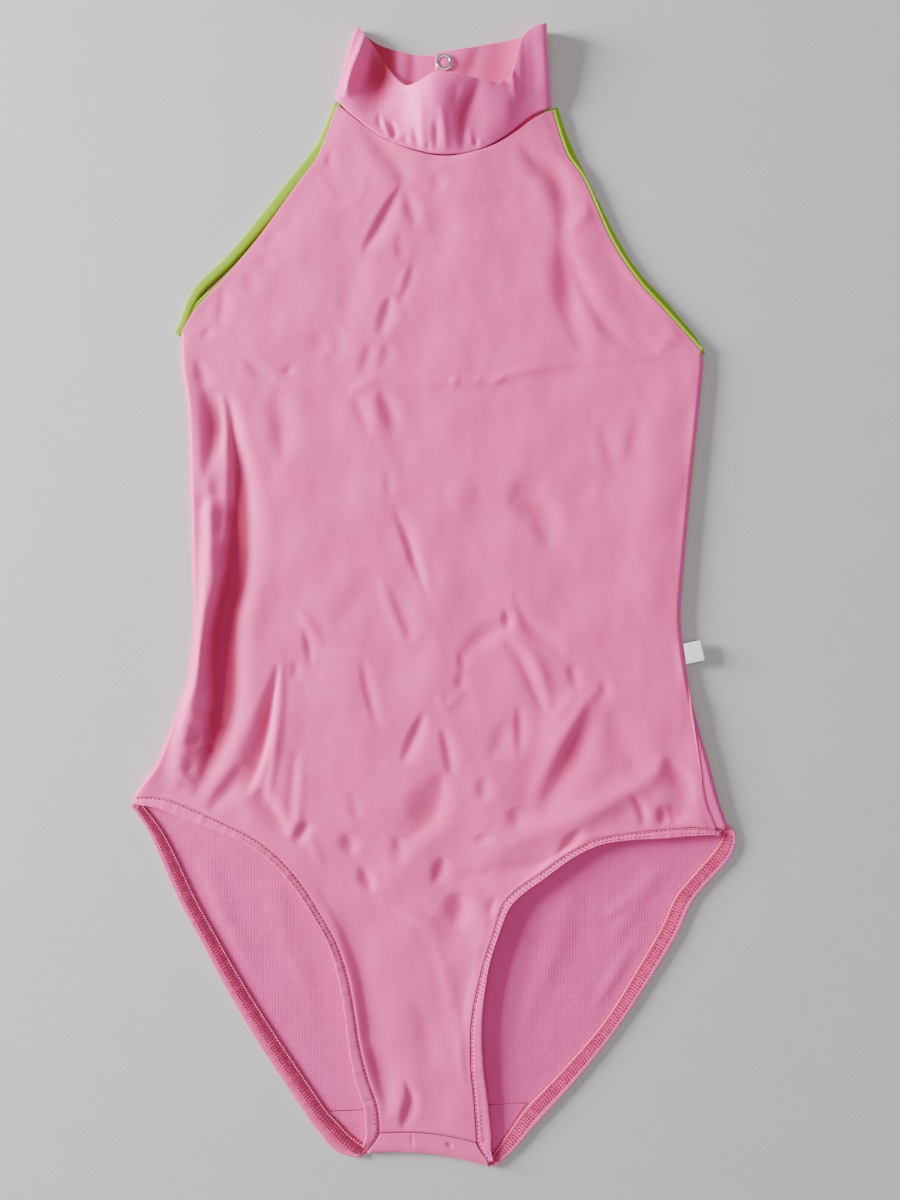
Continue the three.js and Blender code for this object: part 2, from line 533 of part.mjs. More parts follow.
// The rows of the back, from the neck down to the seam of the gusset. It lies flat on the table, and
// along the sides its margins turn up to meet the front.
const backRows = [
  ...sectionsOf(backArmholes, ARMHOLE_ROWS).map((row) => ({ ...row, kind: "armhole" })),
  ...sectionsOf(seamSections, SIDE_ROWS).slice(1, -1).map((row) => ({ ...row, kind: "side" })),
  ...sectionsOf(backLegs, BACK_LEG_ROWS).map((row) => ({ ...row, kind: "leg" })),
];

// A point under a side margin, gone millimetres along it from where it leaves the table. It goes round
// the roll as far as the seam's turn, and then straight on.
function marginPoint(outlineX, side, y, row, turn, gone) {
  const angle = Math.min(gone / row.radius - Math.PI / 2, rad(turn));
  const beyond = Math.max(gone - row.radius * rad(90 + turn), 0);
  const inset = row.radius * (1 - Math.cos(angle)) + beyond * Math.sin(rad(turn));
  const z = row.radius * (1 + Math.sin(angle)) + beyond * Math.cos(rad(turn));
  return new THREE.Vector3(outlineX - side * inset, y, z);
}

// How far the back's upper edge dips under the line between its ends, on its first rows.
const backDip = (k, share) => BACK_NECK_DEPTH * Math.max(1 - k / NECK_ROWS, 0) * 4 * share * (1 - share);

// A row of the back's underside, from its left edge over the table to its right edge.
function backRow(row, k) {
  const onSide = row.kind === "side";
  const bend = onSide ? row.radius : FLAT_MARGIN;
  const flatPoint = (x) => {
    const share = (x - row.leftX) / (row.rightX - row.leftX);
    return new THREE.Vector3(x, lerp(row.leftY, row.rightY, share) - backDip(k, share), 0);
  };
  const leftWay = bend * rad(90) - SEAM;
  const rightWay = onSide ? bend * rad(90 + row.turn) + Math.max(row.wrap, 0) - SEAM : 0;
  const left = MARGIN_SHARES.map((m) =>
    onSide
      ? marginPoint(row.leftX, -1, row.leftY, row, 0, m * leftWay)
      : flatPoint(row.leftX + bend * (1 - m)),
  );
  const right = MARGIN_SHARES.map((m) =>
    onSide
      ? marginPoint(row.rightX, 1, row.rightY, row, row.turn, m * rightWay)
      : flatPoint(row.rightX - bend * (1 - m)),
  );
  const flat = BACK_COLUMNS.map((share) => flatPoint(lerp(row.leftX + bend, row.rightX - bend, share)));
  return [...left, ...flat, ...right.reverse()];
}

const backGrid = backRows.map(backRow);

// The gusset's outer face, over the fold and back along the table.
const gussetGrid = gussetSections.map((row) =>
  Array.from({ length: GUSSET_COLUMNS + 1 }, (_, j) => {
    const share = j / GUSSET_COLUMNS;
    return new THREE.Vector3(
      lerp(row.leftX + SEAM, row.rightX - SEAM, share),
      lerp(row.leftY, row.rightY, share) - SEAM + row.rise * 4 * share * (1 - share),
      row.height,
    );
  }),
);

// The collar's seam follows the upper edge of the panel that it is sewn to, or turns round the side.
function collarSeamY(at, t) {
  const panel = t > COLLAR_TURNS.left && t < COLLAR_TURNS.right ? frontRows[0] : backRows[0];
  const share = (at.seamX - panel.leftX) / (panel.rightX - panel.leftX);
  if (share <= 0 || share >= 1) return at.seamY;
  const dip = panel === frontRows[0] ? frontSag(panel, 0, share) : backDip(0, share);
  return Math.max(lerp(panel.leftY, panel.rightY, share) - dip + COLLAR_SEAM, at.seamY);
}

// The collar's outer face at place t round the neck and a share of its height.
function collarPoint(t, up) {
  const at = sectionAt(collarSections, t);
  const height = lerp(at.seamZ, at.topZ, up) + at.bow * 4 * up * (1 - up);
  return new THREE.Vector3(
    lerp(at.seamX, at.topX, up),
    lerp(collarSeamY(at, t), at.topY, up),
    Math.max(height, 0),
  );
}

const COLLAR_WAY = collarSections.length - 1;
const collarGrid = Array.from({ length: COLLAR_STATIONS + 1 }, (_, k) =>
  Array.from({ length: COLLAR_ROWS + 1 }, (_, n) =>
    collarPoint((k * COLLAR_WAY) / COLLAR_STATIONS, n / COLLAR_ROWS),
  ),
);

// The edges that the hems and bindings are sewn to
const firstOf = (row) => row[0];
const lastOf = (row) => row[row.length - 1];

// The row of both panels at which the side seam ends and the leg hems start
const HIP_ROW = ARMHOLE_ROWS + SIDE_ROWS;

// The gusset's rows, or the hem widths beside them, that continue a panel's edge on the top or underside.
const onTop = (rows) => rows.slice(GUSSET_TOP.first, GUSSET_TOP.end);
const onUnderside = (rows) => rows.slice(GUSSET_UNDERSIDE.first, GUSSET_UNDERSIDE.end).reverse();

// The widths of a strip down a panel's edge, read from one column of its table.
const widthsDown = (rows, count, column) => sectionsOf(rows, count).map((row) => row[column]);

// A leg hem on the front: it hangs a little under the front's edge, over the hem of the back.
function frontHem(pick, column, side) {
  const edge = [...frontGrid.slice(HIP_ROW), ...onTop(gussetGrid)].map(pick);
  const widths = [
    ...widthsDown(frontHems, LEG_ROWS, column),
    ...onTop(gussetHems).map((row) => row[column]),
  ];
  const baseAt = (point) => Math.max(point.z - STRIP_HANG * HEM, HEM + SEAM);
  return stripAlong(stationsAlong(edge, side, widths, baseAt), HEM);
}

// A leg hem on the back, flat on the table.
function backHem(pick, column, side) {
  const edge = [...backGrid.slice(HIP_ROW), ...onUnderside(gussetGrid)].map(pick);
  const widths = [
    ...widthsDown(backHems, BACK_LEG_ROWS, column),
    ...onUnderside(gussetHems).map((row) => row[column]),
  ];
  return stripAlong(stationsAlong(edge, side, widths, () => 0), HEM);
}

// The binding of a front armhole, a narrow roll on its edge.
function frontBinding(pick, side) {
  const edge = frontGrid.slice(0, ARMHOLE_ROWS).map(pick);
  const widths = edge.map(() => FRONT_BINDING);
  const baseAt = (point) => point.z - STRIP_HANG * BINDING;
  return stripAlong(stationsAlong(edge, side, widths, baseAt), BINDING);
}

// The binding of a back armhole, flat on the table.
function backBinding(pick, column, side) {
  const edge = backGrid.slice(0, ARMHOLE_ROWS + 1).map(pick);
  const widths = widthsDown(backBindings, ARMHOLE_ROWS, column);
  return stripAlong(stationsAlong(edge, side, widths, () => 0), BINDING);
}

// The tape loop in the right side seam: it comes out of the seam and droops towards the table.
function sideTab() {
  const [seam, end] = tabEdges;
  const grid = Array.from({ length: TAB.steps + 1 }, (_, i) => {
    const out = i / TAB.steps;
    const height = TAB.height - TAB.drop * out ** 2;
    const top = new THREE.Vector3(lerp(seam.topX, end.topX, out), lerp(seam.topY, end.topY, out), height);
    const bottom = new THREE.Vector3(
      lerp(seam.bottomX, end.bottomX, out),
      lerp(seam.bottomY, end.bottomY, out),
      height,
    );
    return [0, 0.5, 1].map((across) => top.clone().lerp(bottom, across));
  });
  return flipped(wallBehind(grid, -TAB.thickness));
}

// Materials
const pink = new THREE.MeshStandardMaterial({ color: PINK, roughness: 0.72, metalness: 0 });
const collarPink = new THREE.MeshStandardMaterial({ color: COLLAR_PINK, roughness: 0.6, metalness: 0 });
const lime = new THREE.MeshStandardMaterial({ color: LIME, roughness: 0.65, metalness: 0 });
const tape = new THREE.MeshStandardMaterial({ color: TAPE_WHITE, roughness: 0.7, metalness: 0 });
const metal = new THREE.MeshStandardMaterial({ color: SNAP_GREY, roughness: 0.25, metalness: 1 });

const group = new THREE.Group();
function add(name, geometry, material) {
  const mesh = new THREE.Mesh(geometry, material);
  mesh.name = name;
  group.add(mesh);
  return mesh;
}

add("front_panel", wallBehind(frontGrid, CLOTH), pink);
add("back_panel", flipped(wallBehind(backGrid, -CLOTH)), pink);
add("gusset", wallBehind(gussetGrid, GUSSET_CLOTH), pink);
add("collar", wallBehind(collarGrid, COLLAR_CLOTH), collarPink);
add("leg_band_front_left", frontHem(firstOf, "left", 1), pink);
add("leg_band_front_right", flipped(frontHem(lastOf, "right", -1)), pink);
add("leg_band_back_left", backHem(firstOf, "left", 1), pink);
add("leg_band_back_right", flipped(backHem(lastOf, "right", -1)), pink);
add("armhole_binding_front_left", frontBinding(firstOf, 1), lime);
add("armhole_binding_front_right", flipped(frontBinding(lastOf, -1)), lime);
add("armhole_binding_back_left", backBinding(firstOf, "left", 1), lime);
add("armhole_binding_back_right", flipped(backBinding(lastOf, "right", -1)), lime);
add("side_tab", sideTab(), tape);

// The snap: a ring on the inner face of the overlapping end, and a stud between the two ends
const outerAt = collarPoint(SNAP_STATION, SNAP_UP);
const aside = collarPoint(SNAP_STATION + SNAP_REACH, SNAP_UP).sub(outerAt);
const upward = collarPoint(SNAP_STATION, SNAP_UP + SNAP_REACH).sub(outerAt);
const facing = new THREE.Vector3().crossVectors(upward, aside).normalize();
const snap = new THREE.Group();
snap.position.copy(outerAt);
snap.quaternion.setFromUnitVectors(new THREE.Vector3(0, 1, 0), facing);
group.add(snap);

const ringProfile = [
  [SNAP.inner, 0],
  [SNAP.outer, 0],
  [SNAP.outer, 0.5 * SNAP.height],
  [SNAP.outer - SNAP.bevel, SNAP.height],
  [SNAP.inner + SNAP.bevel, SNAP.height],
  [SNAP.inner, 0.5 * SNAP.height],
  [SNAP.inner, 0],
].map(([radius, up]) => new THREE.Vector2(radius, up));
const ring = new THREE.Mesh(new THREE.LatheGeometry(ringProfile, SNAP.sides), metal);
ring.name = "snap_ring";
ring.position.y = COLLAR_CLOTH + SEAM;
const stud = new THREE.Mesh(
  new THREE.CylinderGeometry(SNAP.studRadius, SNAP.studRadius, SNAP.studHeight, SNAP.sides),
  metal,
);
stud.name = "snap_stud";
stud.position.y = -SEAM - SNAP.studHeight / 2;
snap.add(ring, stud);

export default group;
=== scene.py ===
import bpy
import numpy as np
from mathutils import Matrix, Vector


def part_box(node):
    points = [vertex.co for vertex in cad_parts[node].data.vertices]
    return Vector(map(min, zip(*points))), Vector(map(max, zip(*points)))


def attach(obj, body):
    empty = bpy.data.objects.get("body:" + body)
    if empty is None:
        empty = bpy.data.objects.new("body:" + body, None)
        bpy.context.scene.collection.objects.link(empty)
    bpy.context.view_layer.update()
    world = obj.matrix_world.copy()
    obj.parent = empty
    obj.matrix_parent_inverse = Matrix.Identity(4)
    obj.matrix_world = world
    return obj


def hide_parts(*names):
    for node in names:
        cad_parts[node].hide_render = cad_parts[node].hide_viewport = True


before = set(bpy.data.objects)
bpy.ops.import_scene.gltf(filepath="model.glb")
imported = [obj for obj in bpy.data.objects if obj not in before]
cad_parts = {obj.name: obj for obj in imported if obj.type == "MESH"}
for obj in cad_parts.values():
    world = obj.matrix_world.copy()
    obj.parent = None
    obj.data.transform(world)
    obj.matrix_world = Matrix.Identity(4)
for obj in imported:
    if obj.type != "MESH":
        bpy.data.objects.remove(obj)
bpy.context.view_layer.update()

# The back panel: one piece of stretch jersey that lies flat on the table, inside up in the leg openings.
# Its side margins turn up round a soft roll to the side seams, and at the right hip the seam has
# slipped forward, so that a strip of the back is wrapped over the top. All lengths are in mm.
MM = 0.001
SEAM = 0.3
BACK_CLOTH = 0.8
BACK_NECK_DEPTH = 12
# A neckline fades out over so many rows of the armhole's table, and this place is well past it
NECK_ROWS = 2.4
PAST_NECK = 9
# Degrees that the back's seam turns past the front's over the hip
OVER_THE_TOP = 13
BACK_ARMHOLE_ROWS = 60
BACK_SIDE_ROWS = 96
HIP_ROW_BACK = BACK_ARMHOLE_ROWS + BACK_SIDE_ROWS
BACK_LEG_PLACES = np.linspace(0, 8, 92)
# left x, left y, right x, right y
BACK_ARMHOLES = [
    (-53.6, 294.5, 66.4, 291.5),
    (-61.8, 268.0, 73.0, 270.5),
    (-79.2, 247.2, 86.4, 249.0),
    (-98.5, 223.0, 103.4, 216.4),
    (-118.8, 200.0, 117.6, 193.4),
    (-138.4, 181.0, 136.8, 173.4),
    (-146.6, 163.4, 156.8, 153.2),
]
# left x, left y, right x, right y, radius of the side rolls, sag, height of the front at its middle,
# turn of the right seam round its roll in degrees, wrap of the back over the top of it
SIDES = [
    (-150.2, 157.4, 160.6, 146.0, 2.5, 0, 5.0, 0, 0),
    (-149.7, 138.5, 160.4, 134.9, 2.8, 0, 4.9, 0, 0),
    (-146.1, 112.2, 158.0, 112.2, 2.9, 0, 4.7, 0, 0),
    (-144.3, 58.6, 152.6, 58.6, 2.9, 0, 4.6, 0, 0),
    (-143.4, 21.6, 149.3, 21.6, 2.9, 0, 4.6, 0, 0),
    (-142.9, -13.6, 147.2, -13.6, 2.9, 0, 4.6, 0, 0),
    (-146.7, -48.2, 151.4, -48.2, 2.9, 0, 4.7, 30, 0),
    (-154.7, -72.6, 157.1, -72.6, 2.9, 0, 4.8, 80, 0.6),
    (-164.3, -97.6, 164.3, -97.6, 2.9, -1, 4.8, 84, 3.9),
    (-172.9, -110.2, 170.2, -119.7, 2.7, -6, 4.7, 84, 6.7),
    (-178.6, -118.4, 176.2, -137.4, 2.4, -12, 4.6, 84, 6.2),
]
# left x, left y, right x, right y, width of the left hem, width of the right hem
BACK_LEGS = [
    (-176.2, -119.8, 173.6, -141.0, 6.0, 8.2),
    (-164.4, -134.6, 168.6, -150.0, 7.4, 10.0),
    (-155.6, -149.6, 152.9, -168.2, 9.0, 9.4),
    (-142.0, -178.4, 144.2, -179.0, 9.8, 10.6),
    (-129.4, -201.4, 136.4, -196.4, 9.8, 10.4),
    (-116.8, -223.7, 123.0, -219.4, 10.6, 10.0),
    (-98.4, -253.6, 103.0, -251.6, 11.6, 8.8),
    (-76.7, -286.4, 79.2, -279.8, 11.8, 10.0),
    (-62.3, -307.6, 57.4, -302.6, 11.9, 10.9),
]
# Soft creases on the inside of the back that show in the leg openings: width at its start and at its
# end, depth (a ridge where it is negative), lean, which steepens one side and softens the other, and
# then x and y of each point of its path
BACK_CREASES = [
    (3, 2, -0.5, 0, -132, -190, -118, -193),
    (7, 5, -0.8, 0.3, -139, -150, -128, -186, -104, -232),
    (8, 6, -0.6, 0, -96, -160, -88, -200, -70, -250),
    (3, 3, -0.7, 0, 118, -179, 103, -192),
    (5, 4, -0.8, 0.2, 121, -205, 97, -245),
    (8, 6, -0.7, 0, 86, -168, 74, -205, 52, -262),
    (6, 4, -0.6, 0, 140, -160, 124, -176, 108, -210),
    (6, 5, -0.5, 0, 60, -190, 48, -230, 38, -280),
]
# Points in each stretch of a crease's path, how many widths a crease reaches, height of its shoulder
CREASE_POINTS = 22
CREASE_REACH = 3.4
SHOULDER = 0.06


def through(rows, at):
    """Smooth curves through the rows of a table (Catmull-Rom), read at places counted in rows."""
    rows = np.asarray(rows, float)
    last = len(rows) - 1
    at = np.clip(at, 0, last)
    i = np.minimum(at.astype(int), last - 1)
    f = (at - i)[..., None]
    a, b, c, d = (rows[np.clip(i + k, 0, last)] for k in (-1, 0, 1, 2))
    return b + 0.5 * f * (c - a + f * (2 * a - 5 * b + 4 * c - d + f * (3 * (b - c) + d - a)))


def blend(a, b, share):
    """The straight way from a to b."""
    return a + (b - a) * share


def step(value, low, high):
    """A soft step from 0 at low to 1 at high: 3t^2 - 2t^3."""
    t = np.clip((value - low) / (high - low), 0, 1)
    return t * t * (3 - 2 * t)


def arch(share):
    """A low arch between two edges: 4 s (1 - s)."""
    return 4 * share * (1 - share)


def unit(vectors):
    """The same ways at length 1."""
    return vectors / np.linalg.norm(vectors, axis=-1, keepdims=True)


def steps_of(points, axis=0):
    """The lengths of the steps from point to point, with 0 for the first point."""
    return np.linalg.norm(np.diff(points, axis=axis, prepend=points.take([0], axis)), axis=-1)


def relief(creases, x, y):
    """The height that creases add at points of a layer of cloth. Across its path a crease is a bell,
    exp(-q^2) with q in widths, with a low shoulder two widths out. Along it the depth goes as
    sin(pi t) and the width as 0.55 + 0.45 sin(pi t)."""
    height = np.zeros_like(x)
    for start, end, deep, lean, *path in creases:
        path = np.reshape(path, (-1, 2))
        line = through(path, np.linspace(0, len(path) - 1, CREASE_POINTS * (len(path) - 1) + 1))
        way = unit(np.gradient(line, axis=0))
        reach = CREASE_REACH * max(start, end) * (1 + abs(lean))
        near = (x > line[:, 0].min() - reach) & (x < line[:, 0].max() + reach)
        near &= (y > line[:, 1].min() - reach) & (y < line[:, 1].max() + reach)
        dx = x[near][:, None] - line[:, 0]
        dy = y[near][:, None] - line[:, 1]
        apart = dx * dx + dy * dy
        k = apart.argmin(axis=1)
        pick = np.arange(len(k))
        aside = way[k, 0] * dy[pick, k] - way[k, 1] * dx[pick, k]
        past_end = (k == 0) | (k == len(line) - 1)
        off = np.where(past_end, np.sqrt(apart[pick, k]), np.abs(aside))
        t = k / (len(line) - 1)
        swell = np.sin(np.pi * t)
        q = off / (blend(start, end, t) * (0.55 + 0.45 * swell) * (1 + lean * np.sign(aside)))
        bell = np.exp(-q ** 2) - SHOULDER * np.exp(-((q - 2.0) / 0.7) ** 2)
        height[near] -= deep * swell * bell
    return height


def unrest(x, y, size, seed):
    """Small uneven waves: a sum of eight plane waves of about one length, with seeded ways and phases."""
    rng = np.random.default_rng(seed)
    total = np.zeros_like(x)
    for _ in range(8):
        angle, phase, scale = rng.uniform(0, np.pi), rng.uniform(0, 2 * np.pi), rng.uniform(0.7, 1.5)
        wave = 2 * np.pi / (size * scale)
        total += np.sin(wave * (x * np.cos(angle) + y * np.sin(angle)) + phase)
    return total / 4


def placed(name, data):
    """An object of the scene, at its origin."""
    made = bpy.data.objects.new(name, data)
    bpy.context.scene.collection.objects.link(made)
    return made


def piece_from(name, points, faces, material, uv=None, painted_shade_and_hem_band=None):
    """A smooth-shaded piece from points in mm and faces. Its UV map is the way along the cloth in
    metres, and painted_shade_and_hem_band is a number for each point: painted shade, 1 where it lies
    deep in a fold, and on the back hems their band under the stitches."""
    mesh = bpy.data.meshes.new(name)
    mesh.from_pydata(points.reshape(-1, 3) * MM, [], faces)
    if uv is not None:
        corners = np.empty(len(mesh.loops), int)
        mesh.loops.foreach_get("vertex_index", corners)
        mesh.uv_layers.new(name="cloth").data.foreach_set("uv", uv[corners].ravel())
    if painted_shade_and_hem_band is not None:
        mesh.attributes.new("painted_shade_and_hem_band", "FLOAT", "POINT").data.foreach_set("value", np.ravel(painted_shade_and_hem_band))
    mesh.polygons.foreach_set("use_smooth", np.ones(len(mesh.polygons), bool))
    mesh.materials.append(material)
    return placed(name, mesh)


def cloth_way(points):
    """The way across and down a grid of cloth, in metres."""
    along = steps_of(points).mean(axis=1).cumsum()
    across = steps_of(points, 1).mean(axis=0).cumsum()
    return np.stack(np.broadcast_arrays(across[None, :], -along[:, None]), axis=-1).reshape(-1, 2) * MM


def quads_of(index):
    """The quads of grids of vertex numbers, facing up where rows run down and columns to the right."""
    corners = index[..., :-1, :-1], index[..., 1:, :-1], index[..., 1:, 1:], index[..., :-1, 1:]
    return np.stack(corners, axis=-1).reshape(-1, 4)


def lay(name, points, material, painted_shade_and_hem_band=0.0, flip=False, round_about=False, caps=False):
    """A piece of quads on a grid of points in mm (rows, columns, 3)."""
    rows, columns = points.shape[:2]
    index = np.arange(rows * columns).reshape(rows, columns)
    around = np.concatenate([index, index[:, :1]], axis=1) if round_about else index
    faces = quads_of(around).tolist()
    if caps:
        faces += [index[0].tolist(), index[-1][::-1].tolist()]
    if flip:
        faces = [face[::-1] for face in faces]
    return piece_from(name, points, faces, material, cloth_way(points), np.broadcast_to(painted_shade_and_hem_band, index.shape))


def thicken(piece, wall):
    """Gives a sheet its wall, on the side away from its face."""
    shell = piece.modifiers.new("wall", "SOLIDIFY")
    shell.thickness = wall * MM
    shell.offset = -1


class Signal:
    """A node's output in a material. Arithmetic on it adds Math nodes, and node() adds any other."""

    def __init__(self, tree, socket=None):
        self.tree = tree
        self.socket = socket

    def fill(self, node, sockets):
        """Sets a node's inputs, and links those whose value is a signal."""
        for key, value in sockets.items():
            if isinstance(value, Signal):
                self.tree.links.new(value.socket, node.inputs[key])
            else:
                node.inputs[key].default_value = value

    def node(self, kind, sockets, out=0, **settings):
        made = self.tree.nodes.new(kind)
        for key, value in settings.items():
            setattr(made, key, value)
        self.fill(made, sockets)
        return Signal(self.tree, made.outputs[out])

    def maths(self, operation, *values):
        return self.node("ShaderNodeMath", dict(enumerate(values)), operation=operation)

    def __add__(self, other):
        return self.maths("ADD", self, other)

    __radd__ = __add__

    def __sub__(self, other):
        return self.maths("SUBTRACT", self, other)

    def __rsub__(self, other):
        return self.maths("SUBTRACT", other, self)

    def __mul__(self, other):
        return self.maths("MULTIPLY", self, other)

    __rmul__ = __mul__

    def place(self):
        """The place on the object, in metres."""
        return self.node("ShaderNodeTexCoord", {}, out=3)

    def cloth(self):
        """The way along the cloth, in metres."""
        return self.node("ShaderNodeUVMap", {}, uv_map="cloth")

    def noise(self, scale, detail):
        return self.node("ShaderNodeTexNoise", {"Vector": self, "Scale": scale, "Detail": detail})

    def wave(self, axis, length):
        """A sine of that length in metres along one axis of a place."""
        part = self.node("ShaderNodeSeparateXYZ", {0: self}, out=axis)
        return part.maths("SINE", part * (2 * np.pi / length))

    def bump(self, strength, distance):
        return self.node("ShaderNodeBump", {"Strength": strength, "Distance": distance, "Height": self})

    def spread(self, low, high):
        """A soft step of this value from low to high."""
        return self.node("ShaderNodeMapRange", {0: self, 1: low, 2: high}, interpolation_type="SMOOTHSTEP")

    def tint(self, plain, full):
        """A colour that goes from plain to full with this value. Either may be a signal."""
        return self.node("ShaderNodeMix", {0: self, 6: plain, 7: full}, out=2, data_type="RGBA")


def start_finish(name):
    """A new material: its nodes, and the shader that they feed."""
    material = bpy.data.materials.new(name)
    material.use_nodes = True
    return material, Signal(material.node_tree), material.node_tree.nodes["Principled BSDF"]


def jersey(name, lit, deep, painted_shade_and_hem_band, rough=0.62, rib=0.0005, rib_shade=0.02, rib_height=0.5, grain=0.14,
           sheen=0.35):
    """Stretch jersey: fine wales down its length, a soft mottle, and a deeper third colour where a
    point is marked: painted shade in the folds, and on the back hems the band under their stitches.
    """
    material, start, shader = start_finish(name)
    place = start.place()
    wale = place.wave(0, rib)
    course = place.wave(1, 0.8 * rib)
    mottle = place.noise(26.0, 3.0)
    crumple = place.noise(75.0, 4.0)
    fuzz = start.cloth().noise(900.0, 2.0)
    # Painted shade: the mark deepens the colour in the folds, where shade falls; on the back hems it marks
    # the band under their stitches
    painted_shade_and_band_share = start.node("ShaderNodeAttribute", {}, out=2, attribute_name="painted_shade_and_hem_band")
    body = (mottle.spread(0.3, 0.7) * 0.55 + fuzz * 0.25 + wale * rib_shade).tint(lit, deep)
    height = wale * rib_height + course * 0.2 + fuzz * 0.9 + crumple * 3.2
    start.fill(shader, {
        "Base Color": painted_shade_and_band_share.tint(body, painted_shade_and_hem_band),
        "Roughness": mottle * 0.10 + (rough - 0.05),
        "Normal": height.bump(grain, 0.001),
        "Sheen Weight": sheen,
        "Sheen Roughness": 0.55,
        "Sheen Tint": (1.0, 0.72, 0.85, 1),
        "Specular IOR Level": 0.32,
    })
    return material


def rows_of(edges, *values):
    """Rows of sections: their edges, and then each value, which is one for all rows or one for each."""
    return np.column_stack([edges] + [np.broadcast_to(value, len(edges)) for value in values])


def back_rows():
    """The back's sections from the neck to the seam of the gusset: edges, 1 beside a side seam, radius,
    turn and wrap of the roll there, and the place down the neck."""
    neck = np.linspace(0, 6, BACK_ARMHOLE_ROWS, endpoint=False)
    sides = through(SIDES, np.linspace(0.1, 9.9, BACK_SIDE_ROWS))
    radius = sides[:, 4]
    turn = np.radians(sides[:, 7] + OVER_THE_TOP * step(sides[:, 7], 40, 80))
    wrap = np.maximum(sides[:, 8] - 0.22 * radius, 0)
    return np.concatenate([
        rows_of(through(BACK_ARMHOLES, neck), 0, 1, 0, 0, neck),
        rows_of(sides[:, :4], 1, radius, turn, wrap, PAST_NECK),
        rows_of(through(BACK_LEGS, BACK_LEG_PLACES)[:, :4], 0, 1, 0, 0, PAST_NECK)])


def back_grid():
    """The back's face on the table. Along a side it leaves the table round the roll: after a way g
    from the table the angle is g / r - 90 degrees, as far as the seam's turn, and then it is straight.
    Its creases are those of the leg openings, and they fade before the gusset."""
    left_x, left_y, right_x, right_y, on_side, radius, turn, wrap, neck = back_rows().T[..., None]
    shares = np.linspace(1, 0, 14, endpoint=False)[None, :]

    def margin(x, y, side, angle_end, beyond_end):
        gone = shares * (radius * (np.pi / 2 + angle_end) + beyond_end - SEAM)
        angle = np.minimum(gone / radius - np.pi / 2, angle_end)
        beyond = np.maximum(gone - radius * (np.pi / 2 + angle_end), 0)
        inset = radius * (1 - np.cos(angle)) + beyond * np.sin(angle_end)
        rise = radius * (1 + np.sin(angle)) + beyond * np.cos(angle_end)
        flat_inset = radius * (1 - shares)
        return (x - side * np.where(on_side, inset, flat_inset),
                np.broadcast_to(y, inset.shape), np.where(on_side, rise, 0))

    left = margin(left_x, left_y, -1, 0 * turn, 0 * wrap)
    right = margin(right_x, right_y, 1, turn, wrap)
    share = np.linspace(0, 1, 84)[None, :]
    x = blend(left_x + radius, right_x - radius, share)
    across = (x - left_x) / (right_x - left_x)
    dip = BACK_NECK_DEPTH * np.maximum(1 - neck / NECK_ROWS, 0) * arch(across)
    y = blend(left_y, right_y, across) - dip
    lift = relief(BACK_CREASES, x, y) + 0.12 * np.maximum(unrest(x, y, 34, 5), 0)
    z = np.maximum(lift, 0) * step(np.minimum(x - left_x, right_x - x), 2, 12) * (y < -125)
    z = z * step(y, -304, -288)
    rows = [np.concatenate([left[k], [x, y, z][k], right[k][:, ::-1]], axis=1) for k in range(3)]
    return np.stack(rows, axis=-1)


back_points = back_grid()
inside_jersey = jersey(
    "jersey_inside", (0.84, 0.086, 0.36, 1), (0.77, 0.070, 0.31, 1), (0.55, 0.03, 0.09, 1),
    rough=0.74, rib=0.0018, rib_shade=0.045, rib_height=0.12, grain=0.2, sheen=0.25)
back_cloth = lay("back_cloth", back_points, inside_jersey, flip=True)
thicken(back_cloth, BACK_CLOTH)
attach(back_cloth, "root")
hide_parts("back_panel")

# The front panel: one piece of the same jersey, with all the folds that it took as it was laid down.
# It starts at the side seams halfway round the rolls, runs up to the neckline seam and down to the
# gusset, and its armholes and leg edges turn down a little to their binding and hems.
FRONT_CLOTH = 0.7
LOWEST = 2.0
HIGHEST = 9.5
# How firmly the cloth is held up at LOWEST, and the rounding and turn of the armhole and leg edges
FIRMNESS = 1.6
EDGE_ROLL = 1.7
EDGE_TURN = np.radians(60)
ARMHOLE_ROWS = 94
SIDE_ROWS = 136
HIP_ROW_FRONT = ARMHOLE_ROWS + SIDE_ROWS - 1
LEG_PLACES = np.linspace(0, 14, 108)
# left x, left y, right x, right y, sag, height at the edges, height at the middle
ARMHOLES = [
    (-57.1, 293.3, 71.1, 290.3, 28, 4.6, 5.9),
    (-68.4, 264.2, 79.6, 265.0, 19, 4.1, 5.7),
    (-79.7, 248.7, 90.4, 248.7, 15, 4.0, 5.3),
    (-104.7, 214.2, 105.8, 214.2, 9, 4.0, 5.1),
    (-125.5, 189.5, 121.9, 189.5, 5, 4.1, 5.0),
    (-142.1, 171.4, 139.1, 170.2, 2, 4.4, 5.0),
    (-150.2, 157.4, 160.6, 146.0, 0, 4.8, 5.0),
]
